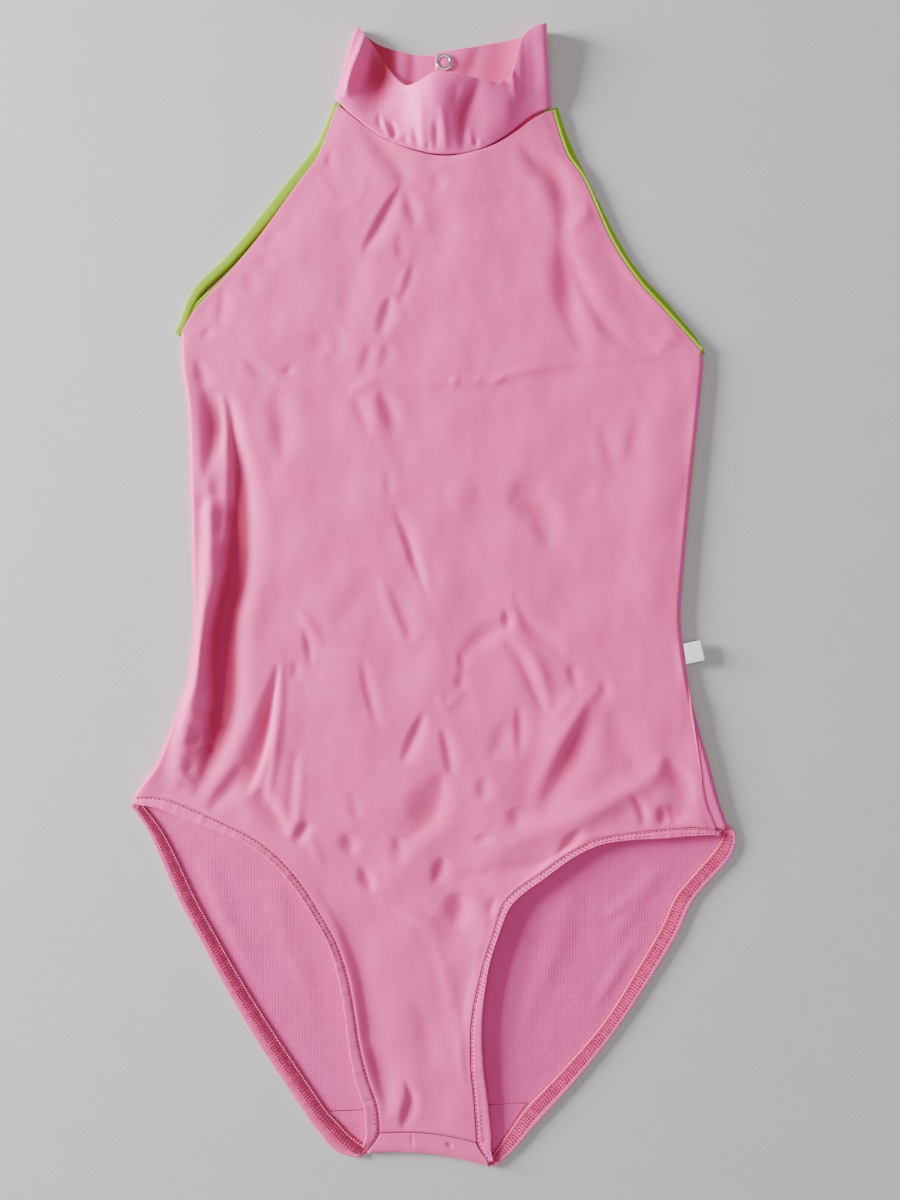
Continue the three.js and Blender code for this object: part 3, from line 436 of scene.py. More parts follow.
# left x, left y, right x, right y, sag, height at the edges, height at the middle, width of the left
# hem, width of the right hem
LEGS = [
    (-178.6, -118.4, 167.4, -137.4, -12, 4.8, 4.6, 4.0, 3.4),
    (-160.6, -118.8, 153.4, -136.4, -6, 4.7, 4.6, 7.0, 5.2),
    (-144.5, -124.7, 135.0, -137.6, -4, 4.9, 4.6, 7.6, 5.6),
    (-125.5, -133.1, 115.9, -139.6, -2, 5.3, 4.7, 6.2, 4.4),
    (-106.5, -142.6, 97.5, -143.2, 0, 5.7, 4.9, 5.4, 3.8),
    (-91.0, -154.5, 80.3, -151.5, 0, 6.0, 5.0, 5.4, 3.8),
    (-77.3, -170.5, 64.2, -162.8, 0, 6.3, 5.0, 5.3, 4.1),
    (-66.0, -188.4, 49.3, -172.9, 0, 6.5, 5.0, 4.8, 4.6),
    (-57.1, -204.4, 41.0, -182.4, 0, 6.6, 5.0, 5.2, 4.6),
    (-50.6, -223.4, 35.7, -198.5, 0, 6.6, 5.0, 6.1, 3.6),
    (-46.4, -244.9, 29.1, -219.3, 0, 6.5, 5.0, 6.4, 4.0),
    (-43.4, -265.1, 22.9, -250.0, 0, 6.2, 4.9, 7.0, 6.4),
    (-38.7, -284.7, 22.3, -277.0, 0, 5.6, 4.8, 7.9, 7.5),
    (-32.7, -303.1, 24.3, -299.4, 0, 4.9, 4.6, 8.4, 8.3),
    (-31.6, -318.7, 26.0, -324.2, -2.7, 4.1, 4.2, 8.9, 9.2),
]
# share of the way across the neck, depth under the line between its ends
NECKLINE = [
    (0, 0), (0.07, 6.2), (0.13, 12.2), (0.21, 18.8), (0.34, 25.6), (0.48, 29),
    (0.62, 27), (0.74, 21), (0.84, 12.6), (0.92, 5), (1, 0),
]
# The creases of the front, in the same form as the back's
LEFT_SIDE_CREASES = [
    (2.6, 5.2, 1.12, 0.2, -140.7, 142.5, -137.7, 131.4, -135.7, 122.8),
    (7.5, 6, 3.4, 0.3, -135.7, 125.3, -131.1, 109.3, -131.1, 94.6, -135, 73.7),
    (2.5, 2.5, -0.86, 0, -125.7, 121.6, -123.9, 104.4, -124.4, 83.5),
    (3.5, 9, 4.6, 0.35, -122.7, 121.6, -118.8, 97, -116.3, 72.4, -116.3, 45.4, -117.3, 15.9, -121.7, -8.7,
     -124.2, -33.3),
    (7, 7, 5.2, 0.3, -115.8, 55.2, -118.3, 15.9, -123.7, -13.6, -124.2, -38.2, -124.7, -62.8, -129.1, -82.4,
     -134.5, -99.6, -141.9, -120.5),
    (5, 5, -4.2, 0, -134, 72.4, -131.6, 45.4, -131.6, 15.9, -135, -6.2, -138, -28.4, -139.4, -57.8),
    (7, 7, -3.8, 0, -137, -3.8, -140.9, -38.2, -143.4, -62.8, -148.8, -89.8, -152.7, -114.4),
    (3.1, 2.6, -0.86, 0, -144.8, -67.2, -133.5, -76.8),
    (3.1, 2.6, -0.7, 0, -147.3, -87.8, -139.9, -94.2),
    (2.9, 2.6, -0.62, 0, -149.8, -102.1, -143.9, -110.9),
    (2.6, 2.6, 0.62, 0, -138, -80.5, -145.3, -88.6),
    (2.6, 2.3, 0.54, 0, -141.9, -97.2, -147.8, -104.6),
    (2.9, 2.6, 0.86, 0, -139.4, 54.7, -125.7, 67.5),
    (2.9, 2.6, 0.7, 0, -134, 30.2, -125.2, 45.4),
    (3.4, 3.1, -0.7, 0, -139.9, 42.4, -125.2, 58.2),
    (3.4, 3.1, 0.54, 0, -133.3, 8, -127.1, 38),
    (2, 7, 3.6, -0.45, -91.7, -39.4, -96.2, -62.8, -100.1, -82.4, -106, -102.1, -112.4, -118.1),
    (2.6, 2.6, -0.94, 0, -89.8, -34.5, -90.8, -62.8, -94.2, -92.3, -99.6, -130.4),
    (5.2, 4.7, 1.76, 0.2, -113.4, -99.1, -121.7, -111.9, -133.5, -127.2),
    (5.9, 4.7, 2.15, -0.2, -104, -113.9, -96.2, -127.2, -86.3, -140.9),
    (2.5, 2.5, -0.86, 0, -79.4, -123.2, -81.2, -134.1, -85.8, -142.4),
    (2.9, 2.9, 1.57, 0, -73.5, -132.3, -78, -139, -82.6, -146.8),
    (3.4, 3.4, 0.62, 0.2, -81.4, -88.6, -83.9, -111.9, -85.8, -131.6),
    (2.6, 2.6, -0.47, 0, -78.5, -92.3, -79.2, -111.9, -80.4, -129.1),
    (2.9, 2.9, -0.78, 0, -80.4, -6.7, -74, -15.1, -64.2, -27.6),
    (2.5, 2.5, 0.94, 0.2, -76.7, -18.5, -74.3, -28.4, -72.6, -39.9),
    (2.7, 2.7, 0.62, 0.2, -81.7, -37, -82.4, -48.5),
]
CHEST_CREASES = [
    (5.2, 5.7, 1.85, 0.1, -43, 284.3, -30.4, 267.8, -19, 254.2, -16.4, 243.8),
    (2.9, 3.6, 1.85, 0.35, -18.2, 246, -26.4, 232.4, -35.2, 216.1, -42.1, 205.4),
    (4.2, 3.4, 1.38, 0.1, -16.8, 243.8, -13.4, 232.4, -10.3, 220.7),
    (9.1, 7.8, 0.7, 0, -3.8, 243.8, 5.4, 228.1, 7.6, 211.9),
    (3.4, 3.1, 0.7, 0, 0.2, 251.6, 6.7, 242.5),
    (8.5, 7.8, 1.03, 0.1, -42.6, 204.5, -48.2, 191, -54.3, 172.7),
    (3.1, 3.1, 0.62, 0.2, -20.1, 215.4, -19.2, 201.5),
    (2.6, 3.9, 1.47, 0.2, -25.1, 180.1, -28.2, 168.8, -32.1, 155.7),
    (2.5, 2.5, 0.62, 0.2, -11.2, 200.2, -15.5, 186.6, -21.2, 172.7),
    (2.5, 2.5, -0.47, 0, -15.1, 197.6, -19.5, 179.7),
    (3.9, 3.9, 0.54, 0, -59.6, 163.1, -55.7, 151.8, -60.5, 138.2),
    (5.2, 5.2, 0.54, 0, -69.2, 159.4, -65.7, 144.3),
    (5.2, 5.2, 0.47, 0, -49.1, 181, -53, 161.8),
    (3.4, 3.4, 0.78, 0.2, -37.3, 152.2, -39.5, 141.9, -44.3, 132.6),
    (3.4, 3.4, 0.78, 0.2, -27.1, 152.2, -28.4, 143, -32.5, 136.9),
    (5.9, 5.9, 2.45, 0.15, 51.2, 271.3, 61.7, 259.7, 72.6, 249.9, 77.4, 234.6, 76.9, 218.5),
    (5.9, 6.5, 2.25, 0.15, 77.4, 227, 77.4, 208.5, 79.1, 188.8, 82.6, 167, 90.4, 144.3),
    (3.4, 5.2, 1.12, 0.2, 81.7, 205.2, 92.2, 180.1, 107.4, 157.2, 126.2, 146.1),
    (3.9, 3.9, -0.94, 0, 81.9, 217.6, 88.9, 227, 97, 239.9),
    (3.1, 3.1, -0.62, 0, 133.2, 145.7, 145, 158.7),
    (3.9, 3.9, 0.54, 0, 117.5, 158.7, 134.1, 144.8),
    (3.9, 3.9, 0.54, 0, -94, 219.8, -97.5, 208),
    (3.9, 3.9, 0.62, 0, -99.1, 204.5, -101, 194.9),
    (3.9, 3.9, 0.54, 0, -107.1, 193.6, -110.6, 182.9),
    (2.9, 2.9, 0.62, 0.2, -124.6, 183.8, -127, 162.2),
    (3.1, 3.1, 0.78, 0, -135.9, 160, -132.4, 155),
    (3.9, 3.9, 0.4, 0, -86.6, 228.5, -85.3, 218.5),
    (2.6, 2.6, 0.62, 0.2, -62.6, 266.9, -61.1, 255.8),
    (2.5, 2.5, -0.33, 0, -69.8, 254.7, -59.1, 237.2),
    (2.5, 2.5, -0.26, 0, -39.5, 252.5, -43.7, 236.1),
    (2.5, 2.5, -0.26, 0, -57.6, 230, -42.6, 237),
    (3.1, 3.1, 1.03, 0, -112.4, 142.4, -104.1, 135.4, -94.9, 130.6),
    (2.9, 2.9, 0.86, 0, -87.1, 137.8, -85.3, 133),
    (2.9, 2.9, -0.4, 0, -69.2, 261.2, -47.4, 260.8, -25.6, 258.6, -5.9, 254.7, 13.7, 258.6, 35.5, 267.3,
     57.3, 277.8),
]
MIDDLE_CREASES = [
    (7.2, 5.2, 1.85, 0.1, -94.2, 122.1, -90.5, 104.4, -88.5, 81.3),
    (11.7, 10.4, -0.47, 0, -80.4, 98.2, -77.5, 78.8),
    (3.4, 2.9, 1.03, 0.1, -47.7, 119.9, -42.3, 109.3, -37.2, 97.5),
    (3.4, 4.7, 1.76, 0.1, -32.2, 123.6, -26.3, 111.8, -21.7, 97.5),
    (2.5, 2.5, -0.86, 0, -50.4, 122.6, -41.1, 127, -31.3, 129.2),
    (2.5, 2.5, 0.86, 0.2, -29.3, 71.9, -24.6, 63.1),
    (3.4, 2.5, 1.66, 0.35, -23.6, 53.8, -16.5, 38, -10.9, 20.8, -3.2, 1.6),
    (2.5, 2.5, -0.4, 0, -34.2, 97.5, -26.3, 84.7, -18, 72.9),
    (3.1, 3.1, -0.54, 0, -12.6, 38.5, -5.2, 15.9, -2, 2.6),
    (7.8, 6.5, 0.86, 0, -32.7, 16.9, -46, -1.3, -60.8, -20.5),
    (7.8, 7.8, 0.54, 0, -25.1, 36.1, -14.1, 15.9, -4.2, -3.8, 4.9, -17),
    (3.1, 3.1, -0.78, 0, -32, 12.9, -23.9, -6.2, -15.8, -30.3),
    (4.5, 4.2, 0.86, 0.2, -27.3, 6.6, -17.7, -11.1, -11.6, -24.4),
    (2.6, 2.6, -0.4, 0, -16.5, -30.1, -5.7, -21.7),
    (8.1, 7.2, 2.45, 0.2, 44.9, 62.1, 56, 56.5, 63.9, 47.9, 71.2, 30.6),
    (3.9, 3.9, 0.62, 0, 49.1, 64.6, 71.5, 69),
    (6.5, 6.5, -0.7, 0, 10, 55.7, 23.3, 67.5),
    (5.2, 5.2, -0.47, 0, 42, 73.7, 45.2, 64.1),
    (5.2, 5.2, 0.78, 0, 68.5, 68, 84.3, 62.6, 97.5, 68),
    (3.9, 3.9, 0.78, 0.2, 99.8, 105.4, 103.9, 89.6, 110.3, 70),
    (4.4, 4.2, 0.7, 0.1, 120.2, 112.8, 121.1, 97, 109.6, 71.5),
    (3.9, 3.9, -0.4, 0, 112.3, 102.4, 115.2, 81.8),
    (4.4, 3.9, 1.66, 0, 43.5, -15.6, 32.6, -21.5, 17.4, -32.5),
    (2.5, 2.5, 1.66, 0.2, 43, -7.7, 44.7, -19.5),
    (3.4, 3.4, -1.03, 0, 44.9, -18.5, 57, -32.5, 64.9, -48, 70.8, -73.6),
    (3.4, 3.4, 1.03, 0.2, 40.5, -23.4, 53.1, -37.4, 60.4, -55.4, 68, -72.1),
    (3.9, 3.1, 1.47, 0.2, 48.1, 3.6, 57, -16.6, 67.1, -24.7, 79.4, -32.5),
    (2.7, 2.7, 1.03, 0.2, 81.6, -39.4, 85.5, -53.2),
    (2.7, 2.7, 0.86, 0, 100.5, -49, 102.2, -55.4, 96.1, -61.3),
    (3.1, 3.1, -0.78, 0, 71.5, -73.6, 84.3, -55.6),
    (4.5, 7.8, 2.3, 0.3, 94.6, -61.8, 86.2, -82.4, 76.9, -104.6, 64.1, -130.1),
    (5.9, 5.9, -1.47, 0, 100.7, -50, 86.7, -67.7, 72, -92.3, 59.2, -120.3),
    (2.5, 2.5, 0.94, 0.2, 15.9, -31.3, 18.6, -42.6),
    (2.7, 2.7, 0.78, 0.2, 17.7, -42.6, 15.4, -54.9),
    (2.5, 2.5, -0.47, 0, 2.7, -55.9, 8.1, -64, 18.4, -53.7),
    (2.5, 3.4, 1.76, 0.3, -5, -67.7, -11.1, -81.2, -18.5, -99.1),
    (2.5, 2.9, 1.29, 0.2, 4.9, -76.5, 8.1, -88.6, 11.3, -106.8),
    (5.2, 9.1, 2.5, -0.2, 5.6, -102.1, 2.2, -119.3, -6.2, -134.1, -22.9, -148.3),
    (3.6, 3.6, 1.12, 0.2, 30.2, -106, 29.2, -121.5),
    (2.7, 2.7, 1.12, 0.2, 51.3, -64.2, 51.8, -93.2),
    (4.7, 4.7, 1.03, 0.1, 43, -74.1, 36.1, -96.9),
    (4.4, 4.4, 1.03, 0.1, 48.4, -124.5, 50.6, -138.7),
    (2.7, 2.7, 0.94, 0.2, -42.6, -35.7, -38.6, -55.4, -33, -77.3),
    (3.1, 3.1, 0.7, 0.1, -49.2, -114.6, -44.5, -131.4),
    (7.2, 7.2, 1.03, 0.1, 105.9, -65.2, 112.5, -84.9, 122.9, -104.6),
    (11.7, 11.7, -1.03, 0, 138.8, 138.8, 136.4, 92.1, 131.5, 47.9, 127.8, 6.1, 131.5, -30.8),
]
LOWER_CREASES = [
    (7.2, 4.7, -2.05, 0, 27.7, -153.5, 59.7, -140.7, 84.3, -132.1, 108.9, -118.6, 129.7, -106.3, 136.9,
     -90.8),
    (3.9, 9.1, 2.3, 0, 139.8, -94.7, 146.2, -109.5, 153.6, -123.2),
    (5.2, 5.2, 1.12, 0, 132.5, -129.6, 145.7, -126.9, 158, -125.2),
    (2.3, 2.3, 1.38, 0.1, 118.2, -117.1, 124.3, -126.7, 125.3, -138),
    (2.3, 2.3, 1.38, 0.1, 136.4, -123.2, 137.1, -135.5),
    (2.3, 2.3, 1.12, 0.1, 140.6, -122.7, 145, -134.5),
    (2.3, 2.3, 0.78, 0.1, 146.7, -124.5, 149.2, -133.8),
    (3.4, 3.4, 1.76, 0.2, 88, -137.5, 81.8, -145.1, 74.4, -154),
    (2.6, 2.6, -0.47, 0, -72.8, -138, -71.1, -147.6, -65.2, -157.2),
    (3.9, 3.9, 0.86, 0.1, -51.2, -139.2, -47.7, -153.5),
    (3.9, 3.4, 1.76, 0.2, 7.1, -154.2, 4.1, -161.8, 0.8, -169.5),
    (3.4, 2.9, 1.76, 0.1, -41.9, -159.4, -39.8, -167.1, -35, -173.9),
    (6.5, 5.5, 2.15, 0.1, 15.3, -174.8, 16.1, -184.5, 13, -196),
    (3.4, 3.4, 1.03, 0.1, 37.6, -176.7, 35.2, -184.5, 36.2, -190.6),
    (3.9, 3.9, 1.12, 0.1, -20.8, -141.8, -20.7, -151.4, -17.7, -157.5),
    (3.9, 3.9, 0.86, 0, 28.9, -140, 30.1, -147),
    (3.9, 3.9, 0.78, 0, -51.5, -140, -49.1, -152.2),
    (4.4, 3.9, -1.03, 0, -36.4, -176.1, -14.6, -186.3, -0.6, -196.4, 18.6, -205.8, 30.8, -211),
    (6.5, 5.7, 0.78, 0, -29.2, -175.4, -12.8, -181, 0.3, -189.4),
    (5.2, 4.7, 0.62, 0, -1, -188.5, 11.6, -197.6, 24.9, -202.7),
    (3.4, 3.9, -0.7, 0, -0.6, -197.6, 6.7, -221.1, 14.2, -249.1, 18.6, -277, 22.4, -295.3),
    (6.5, 6.5, 0.78, -0.2, 24.2, -209.8, 19.8, -233.4, 18.9, -259.5, 22.4, -286.6),
    (5.9, 5.9, 0.62, 0.1, -10.5, -230.6, -4.1, -256, 0.6, -283.2),
    (6.5, 9.1, 1.76, 0.4, -69.3, -167.4, -54.7, -193.2, -46, -224.6, -43, -256, -34.6, -282.2, -28.2,
     -305.9),
    (6.5, 10.4, 1.2, 0.2, -40.2, -267.2, -32.9, -285.7, -28.2, -309.4),
    (2.5, 3.1, 1.76, 0.2, -16.5, -286.6, -13.3, -297.9, -16.1, -308.4, -17.9, -317.1),
    (3.9, 3.9, -0.47, 0, -20.5, -286.6, -21.4, -312.7),
    (3.4, 3.1, 0.78, 0, 28.2, -162, 50, -161, 72, -155.4),
    (3.9, 3.9, 0.54, 0, -1.5, -170.7, 25.6, -165.3, 47.5, -167.2),
    (10.4, 10.4, 0.33, 0, -26.8, -239.5, -21.5, -260.6),
    (5.2, 5.2, -0.78, 0, 25.9, -171.4, 23.5, -184.5, 33.2, -195.7),
]
# The garment was stored folded: faint level creases with small kinks
STORAGE_CREASES = [
    (2.2, 2.2, -0.33, 0, -38.6, 208.5, -3.8, 209.5, 40.7, 211.7),
    (2.3, 2.3, -0.26, 0, -123.7, 127.8, -91, 125.6, -50.9, 126.7),
    (2.6, 2.6, -0.54, 0, -33.2, 128.4, 9.3, 128.6, 35.5, 130, 52.9, 135.2, 85.6, 139.8, 145.8, 143.7),
    (7.2, 6.5, 0.4, 0, -27.7, 123.4, 9.3, 124.3, 39.9, 125.2, 85.6, 133.9, 140.2, 138),
    (2, 2, -0.54, 0, 11.1, 126, 15, 132.8),
    (2, 2, -0.33, 0, 25.2, 127.1, 29.4, 132.8),
    (2.1, 2.1, -0.62, 0, 33.7, 127.3, 43.1, 131.5),
    (2.2, 2.2, -0.33, 0, -89.5, -36.2, -63.2, -35.2, -32.7, -33.8),
    (2.6, 2.6, -0.33, 0, 80.8, -34.3, 113.3, -40.9),
    (2.2, 2.2, -0.33, 0, -53.6, -154.5, -30.3, -163.6, -1.6, -169),
]
# The creases below the neck and away from the left side are a little wider and flatter
SOFTER_WIDTH = 1.16
SOFTER_DEPTH = 0.92
SOFT_CREASES = [(SOFTER_WIDTH * start, SOFTER_WIDTH * end, SOFTER_DEPTH * deep, *rest)
                for start, end, deep, *rest in CHEST_CREASES + MIDDLE_CREASES + LOWER_CREASES]
FRONT_CREASES = LEFT_SIDE_CREASES + SOFT_CREASES + STORAGE_CREASES
# Painted shade in the folds, for their shade and for the shadow that a fold casts to its right under
#  the light from the left: depth where it starts, step down from the left where it starts and the share
#  of it that counts, depth of full shade, and columns looked at on the left
SHADE_START_DEPTH = 1.2
SHADOW_START_STEP = 1.6
SHADOW_STEP_SHARE = 0.8
FULL_SHADE_DEPTH = 2.7
SHADOW_COLUMNS = 9


def front_rows():
    """The front's sections from the neckline to the gusset: edges, sag, height at the edges and at the
    middle, rounding, turn of the left and of the right edge, and the place down the neck."""
    neck = np.linspace(0, 6, ARMHOLE_ROWS, endpoint=False)
    sides = through(SIDES, np.linspace(0, 10, SIDE_ROWS))
    radius, sag, crown = sides[:, 4], sides[:, 5], sides[:, 6]
    turn = np.radians(sides[:, 7])
    sides[:, 2] -= radius * (1 - np.cos(turn)) + np.maximum(sides[:, 8], 0)
    return np.concatenate([
        rows_of(through(ARMHOLES, neck), EDGE_ROLL, EDGE_TURN, EDGE_TURN, neck),
        rows_of(sides[:, :4], sag, 2 * radius, crown, radius, 0, turn, PAST_NECK),
        rows_of(through(LEGS, LEG_PLACES[1:])[:, :7], EDGE_ROLL, EDGE_TURN, EDGE_TURN, PAST_NECK)])


def front_grid():
    """The front's outer face. Its edges are arcs of the row's rounding r, from the seam's turn to level:
    inset r (cos start - cos turn) and drop r (1 - sin turn). Its height blends from the rim to the
    crown, plus the creases, and is held softly over the back. Its painted shade grows as far as a point
    lies low, or lower than what stands close on its left, which shades it from the light on the left."""
    (left_x, left_y, right_x, right_y, sag, rim, crown, roll, left_turn, right_turn,
     neck) = front_rows().T[..., None]
    turns = np.linspace(0, 1, 7, endpoint=False)[None, :]
    left_angle = blend(left_turn, np.pi / 2, turns)
    right_angle = blend(right_turn, np.pi / 2, turns)
    flat_left = left_x + roll * np.cos(left_turn)
    flat_right = right_x - roll * np.cos(right_turn)
    flat = blend(flat_left, flat_right, np.linspace(0, 1, 217)[None, :])
    x = np.concatenate([flat_left - roll * np.cos(left_angle), flat,
                        (flat_right + roll * np.cos(right_angle))[:, ::-1]], axis=1)
    drop = np.concatenate([roll * (1 - np.sin(left_angle)), 0 * flat,
                           (roll * (1 - np.sin(right_angle)))[:, ::-1]], axis=1)
    across = (x - left_x) / (right_x - left_x)
    shares, depths = np.array(NECKLINE).T
    own = through(depths[:, None], np.interp(across, shares, np.arange(len(shares))))[..., 0]
    y = blend(left_y, right_y, across) - blend(own, sag * arch(across), np.minimum(neck / NECK_ROWS, 1))
    inside = step(np.minimum(x - left_x, right_x - x), 1.0, 7.0)
    waves = relief(FRONT_CREASES, x, y)
    calm = 0.55 * unrest(x, 0.85 * y, 46, 3) + 0.12 * unrest(x, y, 19, 4) + 0.04 * unrest(x, y, 8, 6)
    level = blend(rim, crown, 1 - (1 - arch(across)) ** 2)
    level = level + inside * step(y, -320, -310) * (waves + calm)
    level = LOWEST + np.logaddexp(0, FIRMNESS * (level - LOWEST)) / FIRMNESS
    z = np.minimum(level, HIGHEST) - drop
    # Painted shade: deeper as a point lies low in a fold; and painted shadow where it lies lower than the
    # cloth a few columns to its left, as a fold shades it from the low light on the left
    columns = waves.shape[1]
    beside = np.max([np.pad(waves, ((0, 0), (k, 0)), mode="edge")[:, :columns]
                     for k in range(SHADOW_COLUMNS)], axis=0)
    painted_shade_and_hem_band = np.maximum(-waves - SHADE_START_DEPTH, SHADOW_STEP_SHARE * (beside - waves - SHADOW_START_STEP)) / FULL_SHADE_DEPTH
    return np.stack([x, y, z], axis=-1), np.clip(painted_shade_and_hem_band, 0, 1) * inside


def normals_of(grid):
    """Unit normals of a grid, the cross product of the ways along its rows and its columns."""
    return unit(np.cross(np.gradient(grid, axis=0), np.gradient(grid, axis=1)))


def walled(name, face, material, painted_shade_and_hem_band, wall, lowest):
    """A closed shell of cloth: a fine outer face, an inner face with every second row and column of
    it, a wall away and clear under the folds, and a rim of five-sided faces between them."""
    rows, columns = face.shape[:2]
    padded = np.pad(face[..., 2], 2, mode="edge")
    under = np.min([padded[i:i + rows, k:k + columns] for i in (0, 2, 4) for k in (0, 2, 4)], axis=0)
    inner = face - wall * normals_of(face)
    inner[..., 2] -= face[..., 2] - under
    inner[..., 2] = np.maximum(inner[..., 2], np.minimum(lowest, face[..., 2] - 0.2))
    inner = inner[::2, ::2]
    fine = np.arange(rows * columns).reshape(rows, columns)
    coarse = rows * columns + np.arange(inner[..., 0].size).reshape(inner.shape[:2])
    faces = quads_of(fine).tolist() + quads_of(coarse)[:, ::-1].tolist()
    for edge, close in ((fine[0], coarse[0]), (fine[::-1, 0], coarse[::-1, 0]),
                        (fine[-1, ::-1], coarse[-1, ::-1]), (fine[:, -1], coarse[:, -1])):
        rim = [edge[:-2:2], edge[1:-1:2], edge[2::2], close[1:], close[:-1]]
        faces += np.stack(rim, axis=1).tolist()
    points = np.concatenate([face.reshape(-1, 3), inner.reshape(-1, 3)])
    way = cloth_way(face)
    uv = np.concatenate([way, way.reshape(rows, columns, 2)[::2, ::2].reshape(-1, 2)])
    painted_shade_and_hem_band = np.concatenate([painted_shade_and_hem_band.ravel(), 0 * inner[..., 0].ravel()])
    return piece_from(name, points, faces, material, uv, painted_shade_and_hem_band)


front_points, front_painted_shade = front_grid()
# The third colour is the painted shade of the folds
body_jersey = jersey(
    "jersey_body", (0.97, 0.108, 0.40, 1), (0.94, 0.086, 0.35, 1), (0.58, 0.016, 0.12, 1))
front_cloth = walled("front_cloth", front_points, body_jersey, front_painted_shade, FRONT_CLOTH, 1.1)
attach(front_cloth, "root")
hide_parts("front_panel")

# The gusset: a narrow piece of the jersey between the legs. Its seam on the front lies just above the
# fold, it passes round the fold on the table, and it is sewn to the back underneath.
# left x, left y, right x, right y, rise of its middle, height of its face, widths of the hems beside it
GUSSET = [
    (-31.6, -319.0, 26.0, -324.5, 2.7, 4.2, 8.9, 9.3),
    (-34.4, -323.4, 29.2, -330.0, 2.9, 4.2, 6.9, 6.8),
    (-37.4, -327.4, 32.4, -334.2, 3.4, 4.2, 5.3, 3.8),
    (-38.8, -330.2, 33.8, -338.4, 3.6, 3.6, 5.0, 3.6),
    (-39.4, -331.2, 34.4, -339.2, 3.6, 2.1, 5.0, 3.6),
    (-38.8, -330.2, 33.8, -338.4, 3.6, 0.6, 7.0, 4.4),
    (-40.6, -327.4, 34.8, -333.6, 3.4, 0.0, 8.0, 6.0),
    (-50.4, -320.0, 43.4, -321.6, 2.6, 0.0, 13.0, 9.0),
    (-62.0, -307.3, 57.0, -302.3, 0.0, 0.0, 11.9, 10.9),
]
GUSSET_CREASES = [
    (1.5, 1.2, 0.8, 0, 7.7, -324.4, 11.9, -327.4),
    (0.9, 0.8, 0.35, 0, -12.8, -318.0, -12.3, -327.7),
]
GUSSET_PLACES = np.linspace(0, 8, 97)


def gusset_grid():
    """The gusset's outer face: straight between its edges but for a low arch, round the fold."""
    left_x, left_y, right_x, right_y, rise, height = through(GUSSET, GUSSET_PLACES)[:, :6].T[..., None]
    share = np.linspace(0, 1, 81)[None, :]
    x = blend(left_x + SEAM, right_x - SEAM, share)
    y = blend(left_y, right_y, share) + rise * arch(share)
    y = y - SEAM * (1 - step(GUSSET_PLACES, 7, 8))[:, None]
    waves = relief(GUSSET_CREASES, x, y) + 0.12 * unrest(x, y, 14, 8)
    return np.stack([x, y, np.maximum(height + step(height, 2.0, 4.0) * waves, 0)], axis=-1)


gusset_points = gusset_grid()
gusset_cloth = lay("gusset_cloth", gusset_points, body_jersey)
thicken(gusset_cloth, BACK_CLOTH)
gusset_cloth.data.materials.append(inside_jersey)
gusset_cloth.modifiers["wall"].material_offset = 1
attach(gusset_cloth, "root")
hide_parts("gusset")

# The leg hems: the jersey of each panel turned under and held by two rows of cover stitch. On the
# front the two rows of needle stitches show, and on the back, seen from inside, the looper threads.
HEM = 2.0
HEM_GROOVE = 0.5
FRONT_CURL = 0.5
BACK_CURL = 1.1
# The front's needle rows: way from the edge, and the least way from the hem's other edge
NEEDLE_ROWS = (1.0, 3.4)
ROW_MARGIN = 1.3
# Power of the cosine and sine in a strip's section, and lengths of the waves of its puckers
SQUARED = 0.5
PUCKERS = (5.3, 7.9, 12.7, 21.0)
# Rows of the gusset beside the front hems and the back hems
GUSSET_TOP = slice(12, 30)
GUSSET_UNDER = slice(60, 92)
# The side seams are sewn before the hems, and their edge stands up as a low ridge.
SEAM_RIDGE = 0.5
# Points of x, y, z and width on which the front hem and the back hem of a side start, before their panel
HEM_STARTS = {"left": ([], []), "right": ([(171.6, -138.8, 4.2, 3.0)], [(171.5, -138.5, 0, 5.0)])}


def resampled(line, spacing):
    """The same path with points at an even spacing, with the columns that go with it."""
    gone = steps_of(line[:, :3]).cumsum()
    at = np.linspace(0, gone[-1], int(gone[-1] / spacing) + 1)
    return np.stack([np.interp(at, gone, column) for column in line.T], axis=1)


def smoothed(line, times):
    """A path with its small corners worn off: each pass averages a point with its two neighbours."""
    line = line.copy()
    for _ in range(times):
        line[1:-1] = 0.25 * line[:-2] + 0.5 * line[1:-1] + 0.25 * line[2:]
    return line


def edge_line(edge, widths, spacing, times, start=()):
    """A path beside an edge, as x, y, z and width, evened out and smoothed."""
    line = np.concatenate([np.reshape(start, (-1, 4)), np.column_stack([edge, widths])])
    return smoothed(resampled(line, spacing), times)


def outward(line, side):
    """The level way out from a path: to its right where side is 1, and to its left where it is -1."""
    way = unit(np.gradient(line[:, :2], axis=0))
    return side * np.stack([way[:, 1], -way[:, 0], 0 * way[:, 0]], axis=1)


